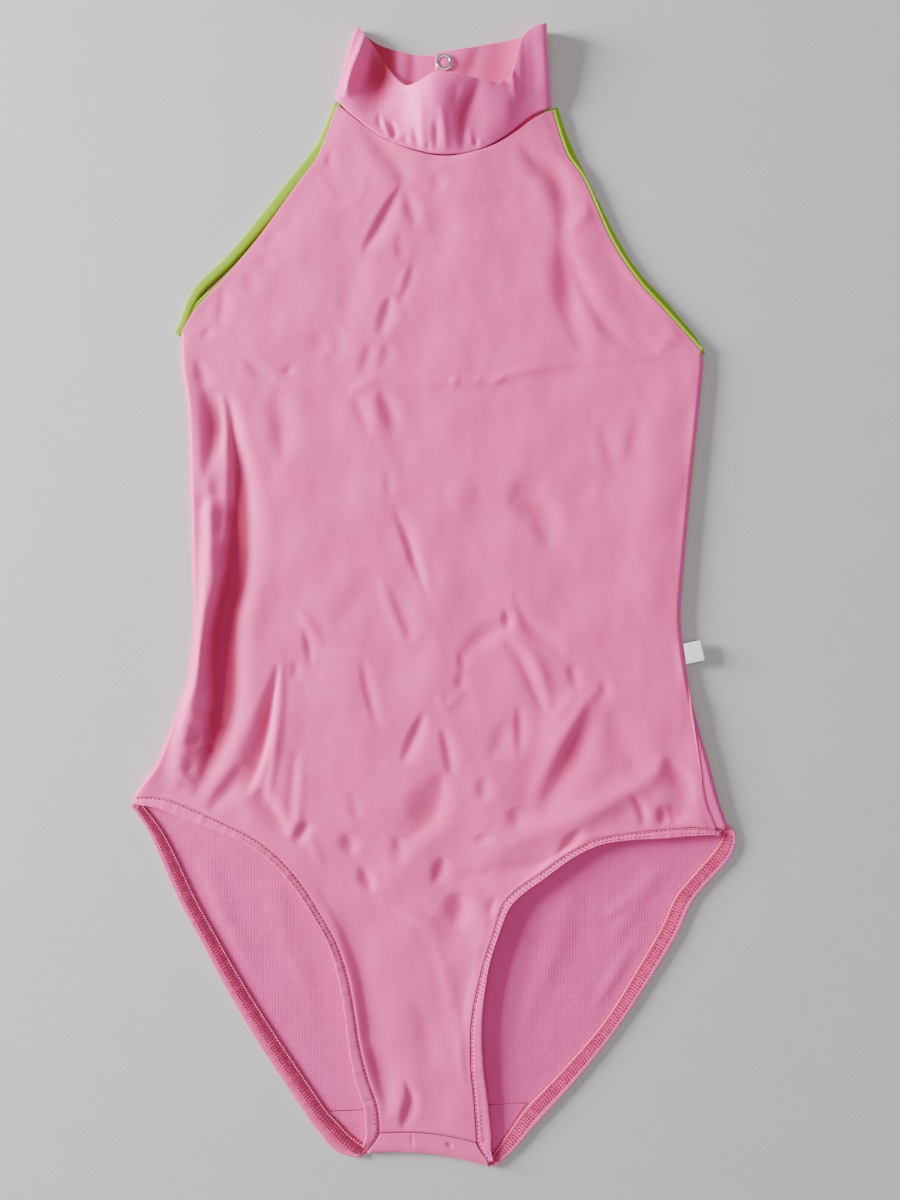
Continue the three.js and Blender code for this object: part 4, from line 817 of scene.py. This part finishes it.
def strip(name, line, material, side, base, thickness, pucker, seed, grooves=(), points=26, curl=0.0,
          deep_to=0.0):
    """A flat strip of folded cloth beside a path of x, y, z and width. Its section is a squared
    ellipse, |cos|^0.5 by |sin|^0.5, with grooves at the stitch rows and low puckers along it, and it
    curls up by the square of the way out. As far out as deep_to it takes its material's deeper third
    colour, the one that is painted shade on the panels; on the back hems it is the band under the stitches."""
    width = line[:, 3:4]
    angle = np.linspace(0, 2 * np.pi, points, endpoint=False)[None, :]
    aside, up = (0.5 + 0.5 * np.sign(wave) * np.abs(wave) ** SQUARED
                 for wave in (np.cos(angle), np.sin(angle)))
    gone = steps_of(line[:, :3]).cumsum()[:, None]
    rng = np.random.default_rng(seed)
    ripple = sum([np.sin(gone * 2 * np.pi / length + rng.uniform(0, 6.28)) for length in PUCKERS]) / 4
    lift = thickness * up + pucker * np.maximum(ripple, -0.2) * up * (0.4 + 0.6 * np.sin(np.pi * aside))
    across = SEAM + aside * (width - SEAM)
    for groove in grooves:
        off = across - np.minimum(groove, width - ROW_MARGIN)
        lift = lift - HEM_GROOVE * np.exp(-(off / 0.5) ** 2) * (up > 0.5)
    z = base[:, None] + lift + curl * aside ** 2
    flat = outward(line, side)[:, None, :2] * (across + 0.25 * pucker * ripple * aside)[..., None]
    grid = np.concatenate([line[:, None, :2] + flat, z[..., None]], axis=-1)
    painted_shade_and_hem_band = (1 - step(aside, deep_to - 0.1, deep_to)) * (deep_to > 0)
    return lay(name, grid, material, painted_shade_and_hem_band, flip=side < 0, round_about=True, caps=True)


def stitches(name, path, material, length, gap, radius, rings=6, sides=5):
    """A row of stitches on a path: each is a small spindle that dips into the cloth at both ends. Its
    thickness goes as cos(0.46 pi s)^0.5, with s from -1 to 1 along it."""
    path = resampled(path, length + gap)
    way = unit(path[1:] - path[:-1])
    side = np.stack([-way[:, 1], way[:, 0], 0 * way[:, 0]], axis=1)
    at = np.linspace(-1, 1, rings)
    thick = radius * np.cos(0.46 * np.pi * at) ** 0.5
    angle = np.linspace(0, 2 * np.pi, sides, endpoint=False)[:, None]
    centre = 0.5 * (path[1:] + path[:-1])[:, None] + way[:, None] * (0.5 * length * at)[:, None]
    centre[..., 2] -= radius * 1.1 * at ** 2
    ring = np.cos(angle) * side[:, None, None] + np.sin(angle) * np.array([0, 0, 1.0])
    points = centre[:, :, None] + thick[:, None, None] * ring
    index = np.arange(points[..., 0].size).reshape(-1, rings, sides)
    faces = quads_of(np.concatenate([index, index[:, :, :1]], axis=2))[:, ::-1].tolist()
    faces += index[:, 0].tolist() + index[:, -1, ::-1].tolist()
    return piece_from(name, points, faces, material)


def thread(name, path, material, radius, sides=5):
    """A thread or a narrow round ridge along a path: a ring of the radius on each point, square to the
    way."""
    way = unit(np.gradient(path, axis=0))
    side = unit(np.cross(way, [0, 0, 1.0]))
    up = np.cross(side, way)
    angle = np.linspace(0, 2 * np.pi, sides, endpoint=False)[None, :, None]
    grid = path[:, None, :] + radius * (np.cos(angle) * side[:, None, :] + np.sin(angle) * up[:, None, :])
    return lay(name, grid, material, round_about=True, caps=True)


def yarn(name, colour, dark):
    """Spun sewing thread: a fine twist in its colour and a soft gloss."""
    material, start, shader = start_finish(name)
    twist = start.place().noise(1400.0, 1.0)
    start.fill(shader, {
        "Base Color": twist.spread(0.35, 0.65).tint(dark, colour),
        "Roughness": twist * 0.2 + 0.42,
        "Normal": twist.bump(0.3, 0.0003),
        "Sheen Weight": 0.2,
    })
    return material


needle_thread = yarn("thread_needle", (0.26, 0.03, 0.07, 1), (0.14, 0.015, 0.035, 1))
looper_thread = yarn("thread_looper", (0.88, 0.13, 0.42, 1), (0.58, 0.05, 0.22, 1))
bead_thread = yarn("thread_beads", (0.90, 0.22, 0.54, 1), (0.70, 0.11, 0.34, 1))
hem_jersey = jersey(
    "jersey_hem", (0.97, 0.108, 0.40, 1), (0.93, 0.083, 0.34, 1), (0.72, 0.030, 0.17, 1), grain=0.18)


def hem_widths(table, places, gusset_rows, column):
    """The widths of a hem beside its panel and beside the gusset."""
    return through(table, places)[:, column], through(GUSSET, GUSSET_PLACES)[gusset_rows, column]


def front_hem(side_name, column, width_column, side, seed, start):
    """A front hem beside the front's leg edge and the top of the gusset, with its two needle rows. It
    starts at the points given."""
    widths, gusset_widths = hem_widths(LEGS, LEG_PLACES, GUSSET_TOP, width_column)
    edge = np.concatenate([front_points[HIP_ROW_FRONT:, column], gusset_points[GUSSET_TOP, column]])
    line = edge_line(edge, np.concatenate([widths, gusset_widths]), 1.1, 6, start)
    base = smoothed(np.maximum(line[:, 2:3] - 0.8 * HEM, 2.2), 8)[:, 0]
    piece = strip("leg_hem_front_" + side_name, line, hem_jersey, side, base, HEM, 0.3, seed, NEEDLE_ROWS,
                  curl=FRONT_CURL)
    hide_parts("leg_band_front_" + side_name)
    made = [piece]
    for row, place in enumerate(NEEDLE_ROWS):
        across = np.minimum(place, line[:, 3] - ROW_MARGIN)
        path = line[:, :3] + outward(line, side) * across[:, None]
        path[:, 2] = base + HEM - 0.75 * HEM_GROOVE + FRONT_CURL * (across / line[:, 3]) ** 2
        name = "needle_row_front_%s_%d" % (side_name, row)
        made.append(stitches(name, path[2:-2], needle_thread, 1.9, 0.6, 0.34))
    for part in made:
        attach(part, "root")
    return made


def back_hem(side_name, column, width_column, side, seed, start):
    """A back hem on the table, inside up, curled a little: needle stitches in two rows, the looper
    thread in zigzag between them, and its loops in a row of beads over the raw edge."""
    widths, gusset_widths = hem_widths(BACK_LEGS, BACK_LEG_PLACES, GUSSET_UNDER, width_column)
    edge = np.concatenate([back_points[HIP_ROW_BACK:, column], gusset_points[GUSSET_UNDER, column][::-1]])
    line = edge_line(edge, np.concatenate([widths, gusset_widths[::-1]]), 1.1, 6, start)
    line[:, 2] = 0
    piece = strip("leg_hem_back_" + side_name, line, hem_jersey, side, line[:, 2], HEM, 0.25, seed,
                  curl=BACK_CURL, deep_to=0.74)
    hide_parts("leg_band_back_" + side_name)
    fine = resampled(line, 0.85)
    out = outward(fine, side)
    width = fine[:, 3]

    def at(across, lift):
        path = fine[:, :3] + out * across[:, None]
        path[:, 2] = HEM + lift + BACK_CURL * (across / width) ** 2
        return path[4:-4]

    inner = np.full(len(fine), 1.0)
    outer = 0.72 * np.minimum(width, 10.0)
    even = np.arange(len(fine)) % 2 == 0
    zigzag = at(np.where(even, inner + 0.8, outer), 0.1)
    made = [piece, thread("looper_zigzag_" + side_name, zigzag, looper_thread, 0.29),
            stitches("looper_beads_" + side_name, at(inner, 0.1), bead_thread, 1.25, 0.45, 0.42)]
    for row, across in (("inner", inner + 1.1), ("outer", outer - 0.3)):
        name = "needle_row_back_%s_%s" % (row, side_name)
        made.append(stitches(name, at(across, 0.22), needle_thread, 1.3, 0.9, 0.27))
    for part in made:
        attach(part, "root")
    return made


front_strips = []
back_strips = []
for side_name, column, width_column, side, seed in (("left", 0, -2, 1, 21), ("right", -1, -1, -1, 22)):
    seam_line = resampled(back_points[BACK_ARMHOLE_ROWS + 1:HIP_ROW_BACK, column]
                          + [-0.15 * side, 0, 0.12], 1.2)
    side_seam = thread("side_seam_" + side_name, smoothed(seam_line, 4), hem_jersey, SEAM_RIDGE, sides=8)
    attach(side_seam, "root")
    back_strips.append(side_seam)
    front_start, back_start = HEM_STARTS[side_name]
    front_strips += front_hem(side_name, column, width_column, side, seed, front_start)
    back_strips += back_hem(side_name, column, width_column, side, seed + 4, back_start)

# The armhole binding: a strip of lime jersey folded round the raw edge of each panel. The back's
# binding lies flat and shows beside the front, and the front's is a narrow roll on its edge.
BINDING = 1.5
PUFFED = 3.8
# width of the left binding, width of the right binding
FRONT_BINDINGS = [(0.9, 2.0), (0.8, 1.9), (0.8, 1.9), (0.8, 1.9), (1.4, 1.9), (3.0, 2.0), (1.6, 2.0)]
BACK_BINDINGS = [(5.6, 8.4), (8.4, 9.2), (7.2, 6.4), (7.0, 5.6), (6.2, 5.6), (6.0, 4.8), (5.0, 2.6)]

lime = jersey(
    "jersey_lime", (0.31, 0.55, 0.006, 1), (0.25, 0.46, 0.005, 1), (0.15, 0.24, 0.004, 1),
    rough=0.6, grain=0.16, sheen=0.03)


def bound(name, node, edge, table, column, side, drop, thickness, seed):
    """A strip of binding beside an armhole edge, with its foot by the drop below it."""
    widths = through(table, np.linspace(0, 6, len(edge)))[:, column]
    line = edge_line(edge, widths, 1.2, 4)
    piece = strip(name, line, lime, side, line[:, 2] - drop, thickness, 0.12, seed, points=20)
    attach(piece, "root")
    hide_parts(node)
    return piece


for side_name, column, side, seed, drop, height in (
        ("left", 0, 1, 31, 1.6 * BINDING, PUFFED), ("right", -1, -1, 32, 0.8 * BINDING, BINDING)):
    edge = front_points[:ARMHOLE_ROWS, column]
    front_strips.append(bound("armhole_roll_front_" + side_name, "armhole_binding_front_" + side_name,
                              edge, FRONT_BINDINGS, column, side, drop, BINDING, seed))
    edge = back_points[:BACK_ARMHOLE_ROWS + 1, column] * [1, 1, 0]
    back_strips.append(bound("armhole_strip_back_" + side_name, "armhole_binding_back_" + side_name,
                             edge, BACK_BINDINGS, column, side, 0, height, seed + 3))

# The collar: one strip of jersey, doubled, sewn to the neckline and lapped at the centre back. Its
# front stands up in a soft bell, and its back lies flat with the inside showing.
COLLAR_CLOTH = 1.5
# seam x, seam y, seam z, top edge x, top edge y, top edge z, bow
COLLAR = [
    (15.5, 281.4, 0.0, 16.0, 324.8, 0.0, 0.0),
    (3.0, 281.0, 0.0, 2.0, 323.8, 0.0, 0.0),
    (-15.0, 282.6, 0.0, -13.8, 325.4, 0.0, 0.0),
    (-34.0, 287.2, 0.0, -31.0, 330.6, 0.0, 0.0),
    (-48.0, 293.8, 0.0, -40.5, 336.4, 0.0, 0.0),
    (-55.4, 298.0, 0.7, -44.8, 339.4, 0.7, 0.0),
    (-58.4, 298.4, 3.0, -46.4, 340.2, 3.0, 0.0),
    (-56.6, 295.4, 5.3, -45.2, 338.6, 6.6, 1.8),
    (-49.6, 288.4, 5.6, -40.6, 333.4, 7.0, 1.0),
    (-40.0, 280.4, 5.9, -34.0, 326.0, 6.2, -1.0),
    (-30.0, 273.6, 6.1, -27.6, 316.4, 6.2, -1.2),
    (-20.0, 269.2, 6.3, -17.5, 303.8, 7.8, -0.4),
    (-10.0, 265.6, 6.4, -9.4, 301.8, 13.6, 1.2),
    (0.0, 263.6, 6.4, 0.0, 304.2, 19.0, 2.0),
    (11.0, 263.4, 6.4, 11.0, 304.0, 19.6, 0.6),
    (22.0, 264.8, 6.4, 24.0, 302.4, 17.0, -1.4),
    (32.0, 268.2, 6.3, 35.4, 301.4, 14.8, 0.6),
    (43.0, 274.6, 6.2, 45.6, 306.0, 13.0, 1.6),
    (51.4, 281.2, 6.0, 50.2, 323.6, 12.6, 1.6),
    (60.0, 287.4, 5.9, 56.2, 333.0, 12.6, 1.6),
    (68.2, 290.8, 5.7, 65.8, 337.4, 11.8, 1.4),
    (70.4, 293.4, 2.9, 67.2, 339.4, 5.4, 0.0),
    (67.0, 293.2, 0.6, 64.8, 338.6, 0.6, 0.0),
    (58.0, 289.8, 0.0, 57.0, 336.6, 0.0, 0.0),
    (42.0, 285.4, 0.2, 41.4, 332.6, 0.2, 0.0),
    (28.0, 282.6, 1.8, 28.0, 329.0, 2.4, 0.0),
    (17.0, 281.4, 2.5, 17.0, 326.4, 3.7, 0.0),
    (1.4, 281.0, 2.6, 1.4, 323.9, 3.8, 0.0),
]
# The first and last place of the part that faces up, and the way over which its creases fade in
COLLAR_FRONT = (7.0, 20.6)
COLLAR_FADE = 0.6
# Steps round the fold at the top edge
FOLD_STEPS = 5
COLLAR_CREASES = [
    (3.7, 4.4, -4.6, 0.1, -39.6, 336, -43.4, 321, -48.6, 308.3, -53.0, 297.0),
    (13.5, 10.0, 2.7, 0, -24.0, 338.0, -28.4, 323.0, -32.8, 306.0, -30.5, 287.0),
    (1.7, 1.7, 0.62, 0, -32.1, 288.9, -31.8, 283.7, -31.1, 279),
    (1.4, 1.4, -0.74, 0, -31.1, 287, -28.3, 280, -25.4, 271),
    (1.9, 1.9, 1.05, 0, -25.2, 284.7, -23.3, 277.1, -22.6, 271.5),
    (1.4, 1.4, -0.43, 0, -16.5, 276.2, -23.1, 271),
    (1.3, 1.3, 0.56, 0, -16.5, 273.8, -15.3, 269.1),
    (2, 1.8, 0.87, 0, -11.2, 278.1, -8.7, 266.7),
    (3.1, 2.4, -0.81, 0, -7.5, 299.8, -7, 282.8, -5.3, 264.8),
    (1.2, 1.2, 0.5, 0, -3.2, 270, -2.5, 264.4),
    (2.1, 2.1, 0.99, 0, 1.5, 280.9, 2.1, 265.3),
    (2.6, 2.2, -0.87, 0, 4.3, 288.5, 6.7, 277.1, 7.8, 263.9),
    (4, 3.3, 1.86, 0.3, 29.3, 304, 23.2, 297, 18.5, 287.5, 16.1, 275.2, 18.3, 265.8),
    (3.7, 2.9, 0.87, 0, 14.7, 300.7, 13.3, 288.5, 14.7, 276.2),
    (1.8, 1.8, -0.62, 0, 21.3, 278.1, 22.6, 268.2),
    (1.3, 1.3, 0.62, 0, 24.9, 272.9, 25.9, 267.2),
    (1.3, 1.3, -0.37, 0, 27.5, 271.5, 29.3, 268.2),
    (1.3, 1.3, 0.5, 0, 36.2, 304, 36.7, 299.8),
    (1.3, 1.3, 0.5, 0, 38.8, 304, 39.3, 300.7),
    (1.5, 1.5, 0.62, 0, 42.9, 305.5, 42.1, 301.2),
    (1.9, 2.2, -0.99, 0, 46.3, 308.8, 48.2, 299.8, 48.7, 291.3),
    (2.6, 2.4, -0.6, 0, 51.4, 331, 50.8, 318.7, 51.1, 303.6, 51.5, 292.2),
    (5.5, 5.5, 0.56, 0, 59.1, 327.2, 60, 313, 60, 298.9),
    (2.9, 2.9, 0.56, 0, -16.5, 300.7, -12.7, 294.1),
]
# The same on the inside of the collar's back, where it shows behind the front. They change the
#  wall's thickness, and their dips carry painted shade
COLLAR_BACK_CREASES = [
    (13.0, 11.0, 0.6, 0, -36.0, 347.0, -31.0, 326.0, -27.0, 292.0),
    (2.6, 2.6, -0.3, 0, -18.6, 336.0, -18.8, 318.0, -20.0, 298.0),
    (4.2, 4.2, 0.3, 0.2, -13.0, 338.0, -13.6, 318.0, -15.0, 298.0),
    (4.5, 4.5, -0.35, 0, -5.5, 336.0, -5.0, 318.0, -4.5, 300.0),
    (5.5, 5.5, 0.45, 0.2, 31.0, 338.0, 22.5, 319.0, 15.0, 301.0),
    (8.0, 8.0, -0.4, 0, 39.0, 338.0, 31.0, 320.0, 24.0, 298.0),
]


def collar_seam_y(place, seam_x, seam_y):
    """The seam keeps 0.5 above the upper edge of the panel that it is sewn to, where that is higher."""
    on_front = (place > 6) & (place < 21)
    for panel, sewn in ((front_points, on_front), (back_points, ~on_front)):
        edge_x, edge_y = panel[0, :, 0], panel[0, :, 1]
        beside = sewn & (seam_x > edge_x[0]) & (seam_x < edge_x[-1])
        own = np.interp(seam_x, edge_x, edge_y) + 0.5
        seam_y = np.where(beside, np.maximum(own, seam_y), seam_y)
    return seam_y


def collar_face(place, up):
    """The collar's outer face: straight from its seam to its top edge but for a bow, with creases and
    gathers on the part that faces up, and painted shade in their hollows."""
    seam_x, seam_y, seam_z, top_x, top_y, top_z, bow = through(COLLAR, place).T[..., None]
    place = place[:, None]
    seam_y = collar_seam_y(place, seam_x, seam_y)
    x = blend(seam_x, top_x, up)
    y = blend(seam_y, top_y, up)
    z = blend(seam_z, top_z, up) + bow * arch(up)
    first, last = COLLAR_FRONT
    front = step(place, first, first + COLLAR_FADE) * (1 - step(place, last - COLLAR_FADE, last))
    waves = relief(COLLAR_CREASES, x, y) * front * step(y - seam_y, -0.5, 3.0)
    calm = 0.12 * unrest(x, y, 22, 12) * front
    # Painted shade: deeper as a point lies lower in a crease
    painted_shade_and_hem_band = np.clip((-waves - 0.4) / 2.2, 0, 1) * front
    return np.stack([x, y, np.maximum(z + waves + calm, 0)], axis=-1), painted_shade_and_hem_band


def folded_wall(face, facing, thickness):
    """A wall folded at its top edge: up its outer face, round a half circle, down its inner face. Its
    thickness is given for each point."""
    inner = face - thickness[..., None] * facing
    centre = 0.5 * (face[:, -1] + inner[:, -1])
    upward = unit(face[:, -1] - face[:, -2])
    angle = np.linspace(0, np.pi, FOLD_STEPS + 2)[1:-1][None, :, None]
    fold = centre[:, None] + 0.5 * thickness[:, -1, None, None] * (
        np.cos(angle) * facing[:, -1][:, None] + np.sin(angle) * upward[:, None])
    return np.concatenate([face, fold, inner[:, ::-1]], axis=1)


collar_places = np.linspace(0, len(COLLAR) - 1, 330)
collar_outer, collar_painted_shade = collar_face(collar_places, np.linspace(0, 1, 44)[None, :])
on_back = 1 - step(collar_places, 5.0, 5.8) * (1 - step(collar_places, 22.0, 22.8))
back_waves = relief(COLLAR_BACK_CREASES, collar_outer[..., 0], collar_outer[..., 1]) * on_back[:, None]
collar_points = folded_wall(collar_outer, normals_of(collar_outer), COLLAR_CLOTH + back_waves)
# Painted shade on the inside of the collar's back, in the dips of its creases
collar_inside_painted_shade = np.clip((-back_waves - 0.08) / 0.42, 0, 1)
# The fold at the top edge takes the deeper painted shade of its two faces
fold_painted_shade = np.repeat(np.maximum(collar_painted_shade, collar_inside_painted_shade)[:, -1:], FOLD_STEPS, axis=1)
collar_painted_shades = np.concatenate([collar_painted_shade, fold_painted_shade, collar_inside_painted_shade[:, ::-1]], axis=1)
# The third colour is the collar's painted shade
collar_jersey = jersey(
    "jersey_collar", (1.0, 0.105, 0.44, 1), (0.97, 0.088, 0.39, 1), (0.54, 0.010, 0.08, 1),
    rough=0.5, sheen=0.4)
collar_cloth = lay("collar_cloth", collar_points, collar_jersey, collar_painted_shades, round_about=True, caps=True)
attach(collar_cloth, "root")
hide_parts("collar")

# The snap: a pronged ring pressed through the inside of the overlapping collar end, with the cloth
# showing in its middle, over the stud on the covered end.
SNAP_RING = 5.0
SNAP_HOLE = 3.0
SNAP_HEIGHT = 0.9
# How deep the cloth in the ring lies at its edge and at its back, and how far it bulges
CAP_EDGE = 0.30
CAP_BACK = 0.5
CAP_BULGE = 0.42
# Place along the collar's table and share of its height
SNAP_PLACE = 26.6
SNAP_UP = 0.85

ring_middle = np.mean(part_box("snap_ring"), axis=0) / MM
near = collar_face(SNAP_PLACE + np.array([-0.1, 0, 0.1]), SNAP_UP + np.array([[-0.05, 0, 0.05]]))[0]
ring_axis = -normals_of(near)[1, 1]
ring_side = unit(np.cross(ring_axis, [0, 1.0, 0]))
ring_up = np.cross(ring_axis, ring_side)


def turned(name, profile, material, steps, lobes=0, deep=0.0):
    """A profile of radius and height carried round the snap's axis, with low lobes on its rim."""
    radius, height = np.transpose(profile)
    angle = np.linspace(0, 2 * np.pi, steps, endpoint=False)[:, None]
    radius = (radius * (1 + deep * np.cos(lobes * angle)))[..., None]
    angle = angle[..., None]
    points = (ring_middle + ring_axis * height[:, None]
              + radius * (np.cos(angle) * ring_side + np.sin(angle) * ring_up))
    return lay(name, np.concatenate([points, points[:1]]), material, round_about=True)


def plated(name):
    """Polished nickel plate with faint scratches and a little dulling."""
    material, start, shader = start_finish(name)
    wear = start.place().noise(700.0, 3.0)
    start.fill(shader, {
        "Base Color": wear.tint((0.62, 0.62, 0.64, 1), (0.78, 0.78, 0.80, 1)),
        "Roughness": wear * 0.18 + 0.14,
        "Metallic": 1.0,
    })
    return material


nickel = plated("snap_nickel")
tube = np.linspace(0, 2 * np.pi, 16, endpoint=False)
tube_radius = 0.5 * (SNAP_RING + SNAP_HOLE) + 0.5 * (SNAP_RING - SNAP_HOLE) * np.cos(tube)
tube_profile = np.stack([tube_radius, 0.5 * SNAP_HEIGHT * np.sin(tube)], axis=1)
snap_rim = turned("snap_rim", tube_profile, nickel, 72, lobes=5, deep=0.004)
cap_profile = [(SNAP_HOLE * s, CAP_BULGE * (1 - s ** 2) - CAP_EDGE) for s in np.linspace(1, 0.02, 10)]
cap_profile += [(0.02 * SNAP_HOLE, -CAP_BACK), (SNAP_HOLE, -CAP_BACK)]
snap_cap = turned("snap_cap", cap_profile, collar_jersey, 48)
for piece in (snap_rim, snap_cap):
    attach(piece, "root")
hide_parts("snap_ring")
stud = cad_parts["snap_stud"]
stud.data.materials.clear()
stud.data.materials.append(nickel)

# The side tab: a short piece of white woven tape, folded in two and caught in the right side seam.
# It is left bare.
TAPE = 0.35
TAPE_LOOP = 0.45
# Height of its middle at the seam, and how far it rises on the way out
TAPE_HEIGHT = 4.05
TAPE_RISE = 0.9
# x and y of its upper edge, x and y of its lower edge: at the seam and at the fold
TAPE_SEAM = (149.0, -27.2, 150.8, -39.2)
TAPE_END = (158.6, -25.2, 161.2, -37.0)


def tape_grid():
    """The tape's outer face: out along the top, round the fold in a half circle and back underneath.
    It rises a little on the way out and curls a little across."""
    out = np.concatenate([np.linspace(0, 1, 22), np.ones(7), np.linspace(1, 0, 22)])[:, None]
    angle = np.concatenate([np.zeros(22), np.linspace(0, np.pi, 9)[1:-1], np.full(22, np.pi)])[:, None]
    across = np.linspace(0, 1, 25)[None, :]
    top_x, top_y, low_x, low_y = (blend(a, b, out) for a, b in zip(TAPE_SEAM, TAPE_END))
    x = blend(top_x, low_x, across) + TAPE_LOOP * np.sin(angle)
    y = blend(top_y, low_y, across) - 0.05 * np.sin(angle)
    middle = TAPE_HEIGHT + TAPE_RISE * out + 0.12 * np.sin(np.pi * across * 1.3 + 0.4) * out
    return np.stack([x, y, np.maximum(middle + TAPE_LOOP * np.cos(angle), 0.02)], axis=-1)


def tape_finish(name):
    """Woven tape: fine crossing yarns in a nearly white colour."""
    material, start, shader = start_finish(name)
    cloth = start.cloth()
    weave = cloth.wave(0, 0.0005) * cloth.wave(1, 0.0004)
    soil = cloth.noise(300.0, 3.0)
    shade = (weave * 0.2 + soil).spread(0.2, 0.9)
    start.fill(shader, {
        "Base Color": shade.tint((0.90, 0.89, 0.89, 1), (0.97, 0.96, 0.96, 1)),
        "Roughness": soil * 0.15 + 0.55,
        "Normal": weave.bump(0.25, 0.0004),
    })
    return material


tape = lay("side_tape", tape_grid(), tape_finish("tape_white"))
thicken(tape, TAPE)
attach(tape, "root")
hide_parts("side_tab")

# The table, the light and the camera. The garment is seen from straight above, from 0.56 m, as by a
# 28 mm lens, with one broad soft light low on its left.
FLOOR_REACH = 3000

floor_finish, floor_start, floor_shader = start_finish("floor_pale")
speck = floor_start.place().noise(40.0, 4.0)
floor_start.fill(floor_shader, {
    "Base Color": speck.tint((0.56, 0.56, 0.57, 1), (0.60, 0.60, 0.61, 1)),
    "Roughness": 0.75,
})
floor_corners = FLOOR_REACH * np.array([(-1, -1, 0), (1, -1, 0), (1, 1, 0), (-1, 1, 0)])
floor = piece_from("floor", floor_corners, [(0, 1, 2, 3)], floor_finish)


def soft_light(name, place, turn, size, watts, colour):
    """A square area light."""
    lamp = bpy.data.lights.new(name, "AREA")
    lamp.size = size
    lamp.energy = watts
    lamp.color = colour
    light = placed(name, lamp)
    light.location = place
    light.rotation_euler = turn


soft_light("window", (-1.9, 0.5, 0.58), (0, np.radians(-73.5), np.radians(-14.5)),
           0.7, 146, (0.98, 0.97, 1.0))
soft_light("room", (0.0, 0.1, 1.7), (0, 0, 0), 1.5, 9, (1.0, 0.96, 0.96))

world = bpy.data.worlds.new("studio")
world.use_nodes = True
world.node_tree.nodes["Background"].inputs[0].default_value = (1.0, 0.93, 0.92, 1)
world.node_tree.nodes["Background"].inputs[1].default_value = 0.30
bpy.context.scene.world = world

view = bpy.data.cameras.new("view")
view.lens = 28
view.sensor_width = 36
camera = placed("view", view)
camera.location = (0.0101, -0.00105, 0.560)
camera.rotation_euler = (0, 0, 0)
bpy.context.scene.camera = camera
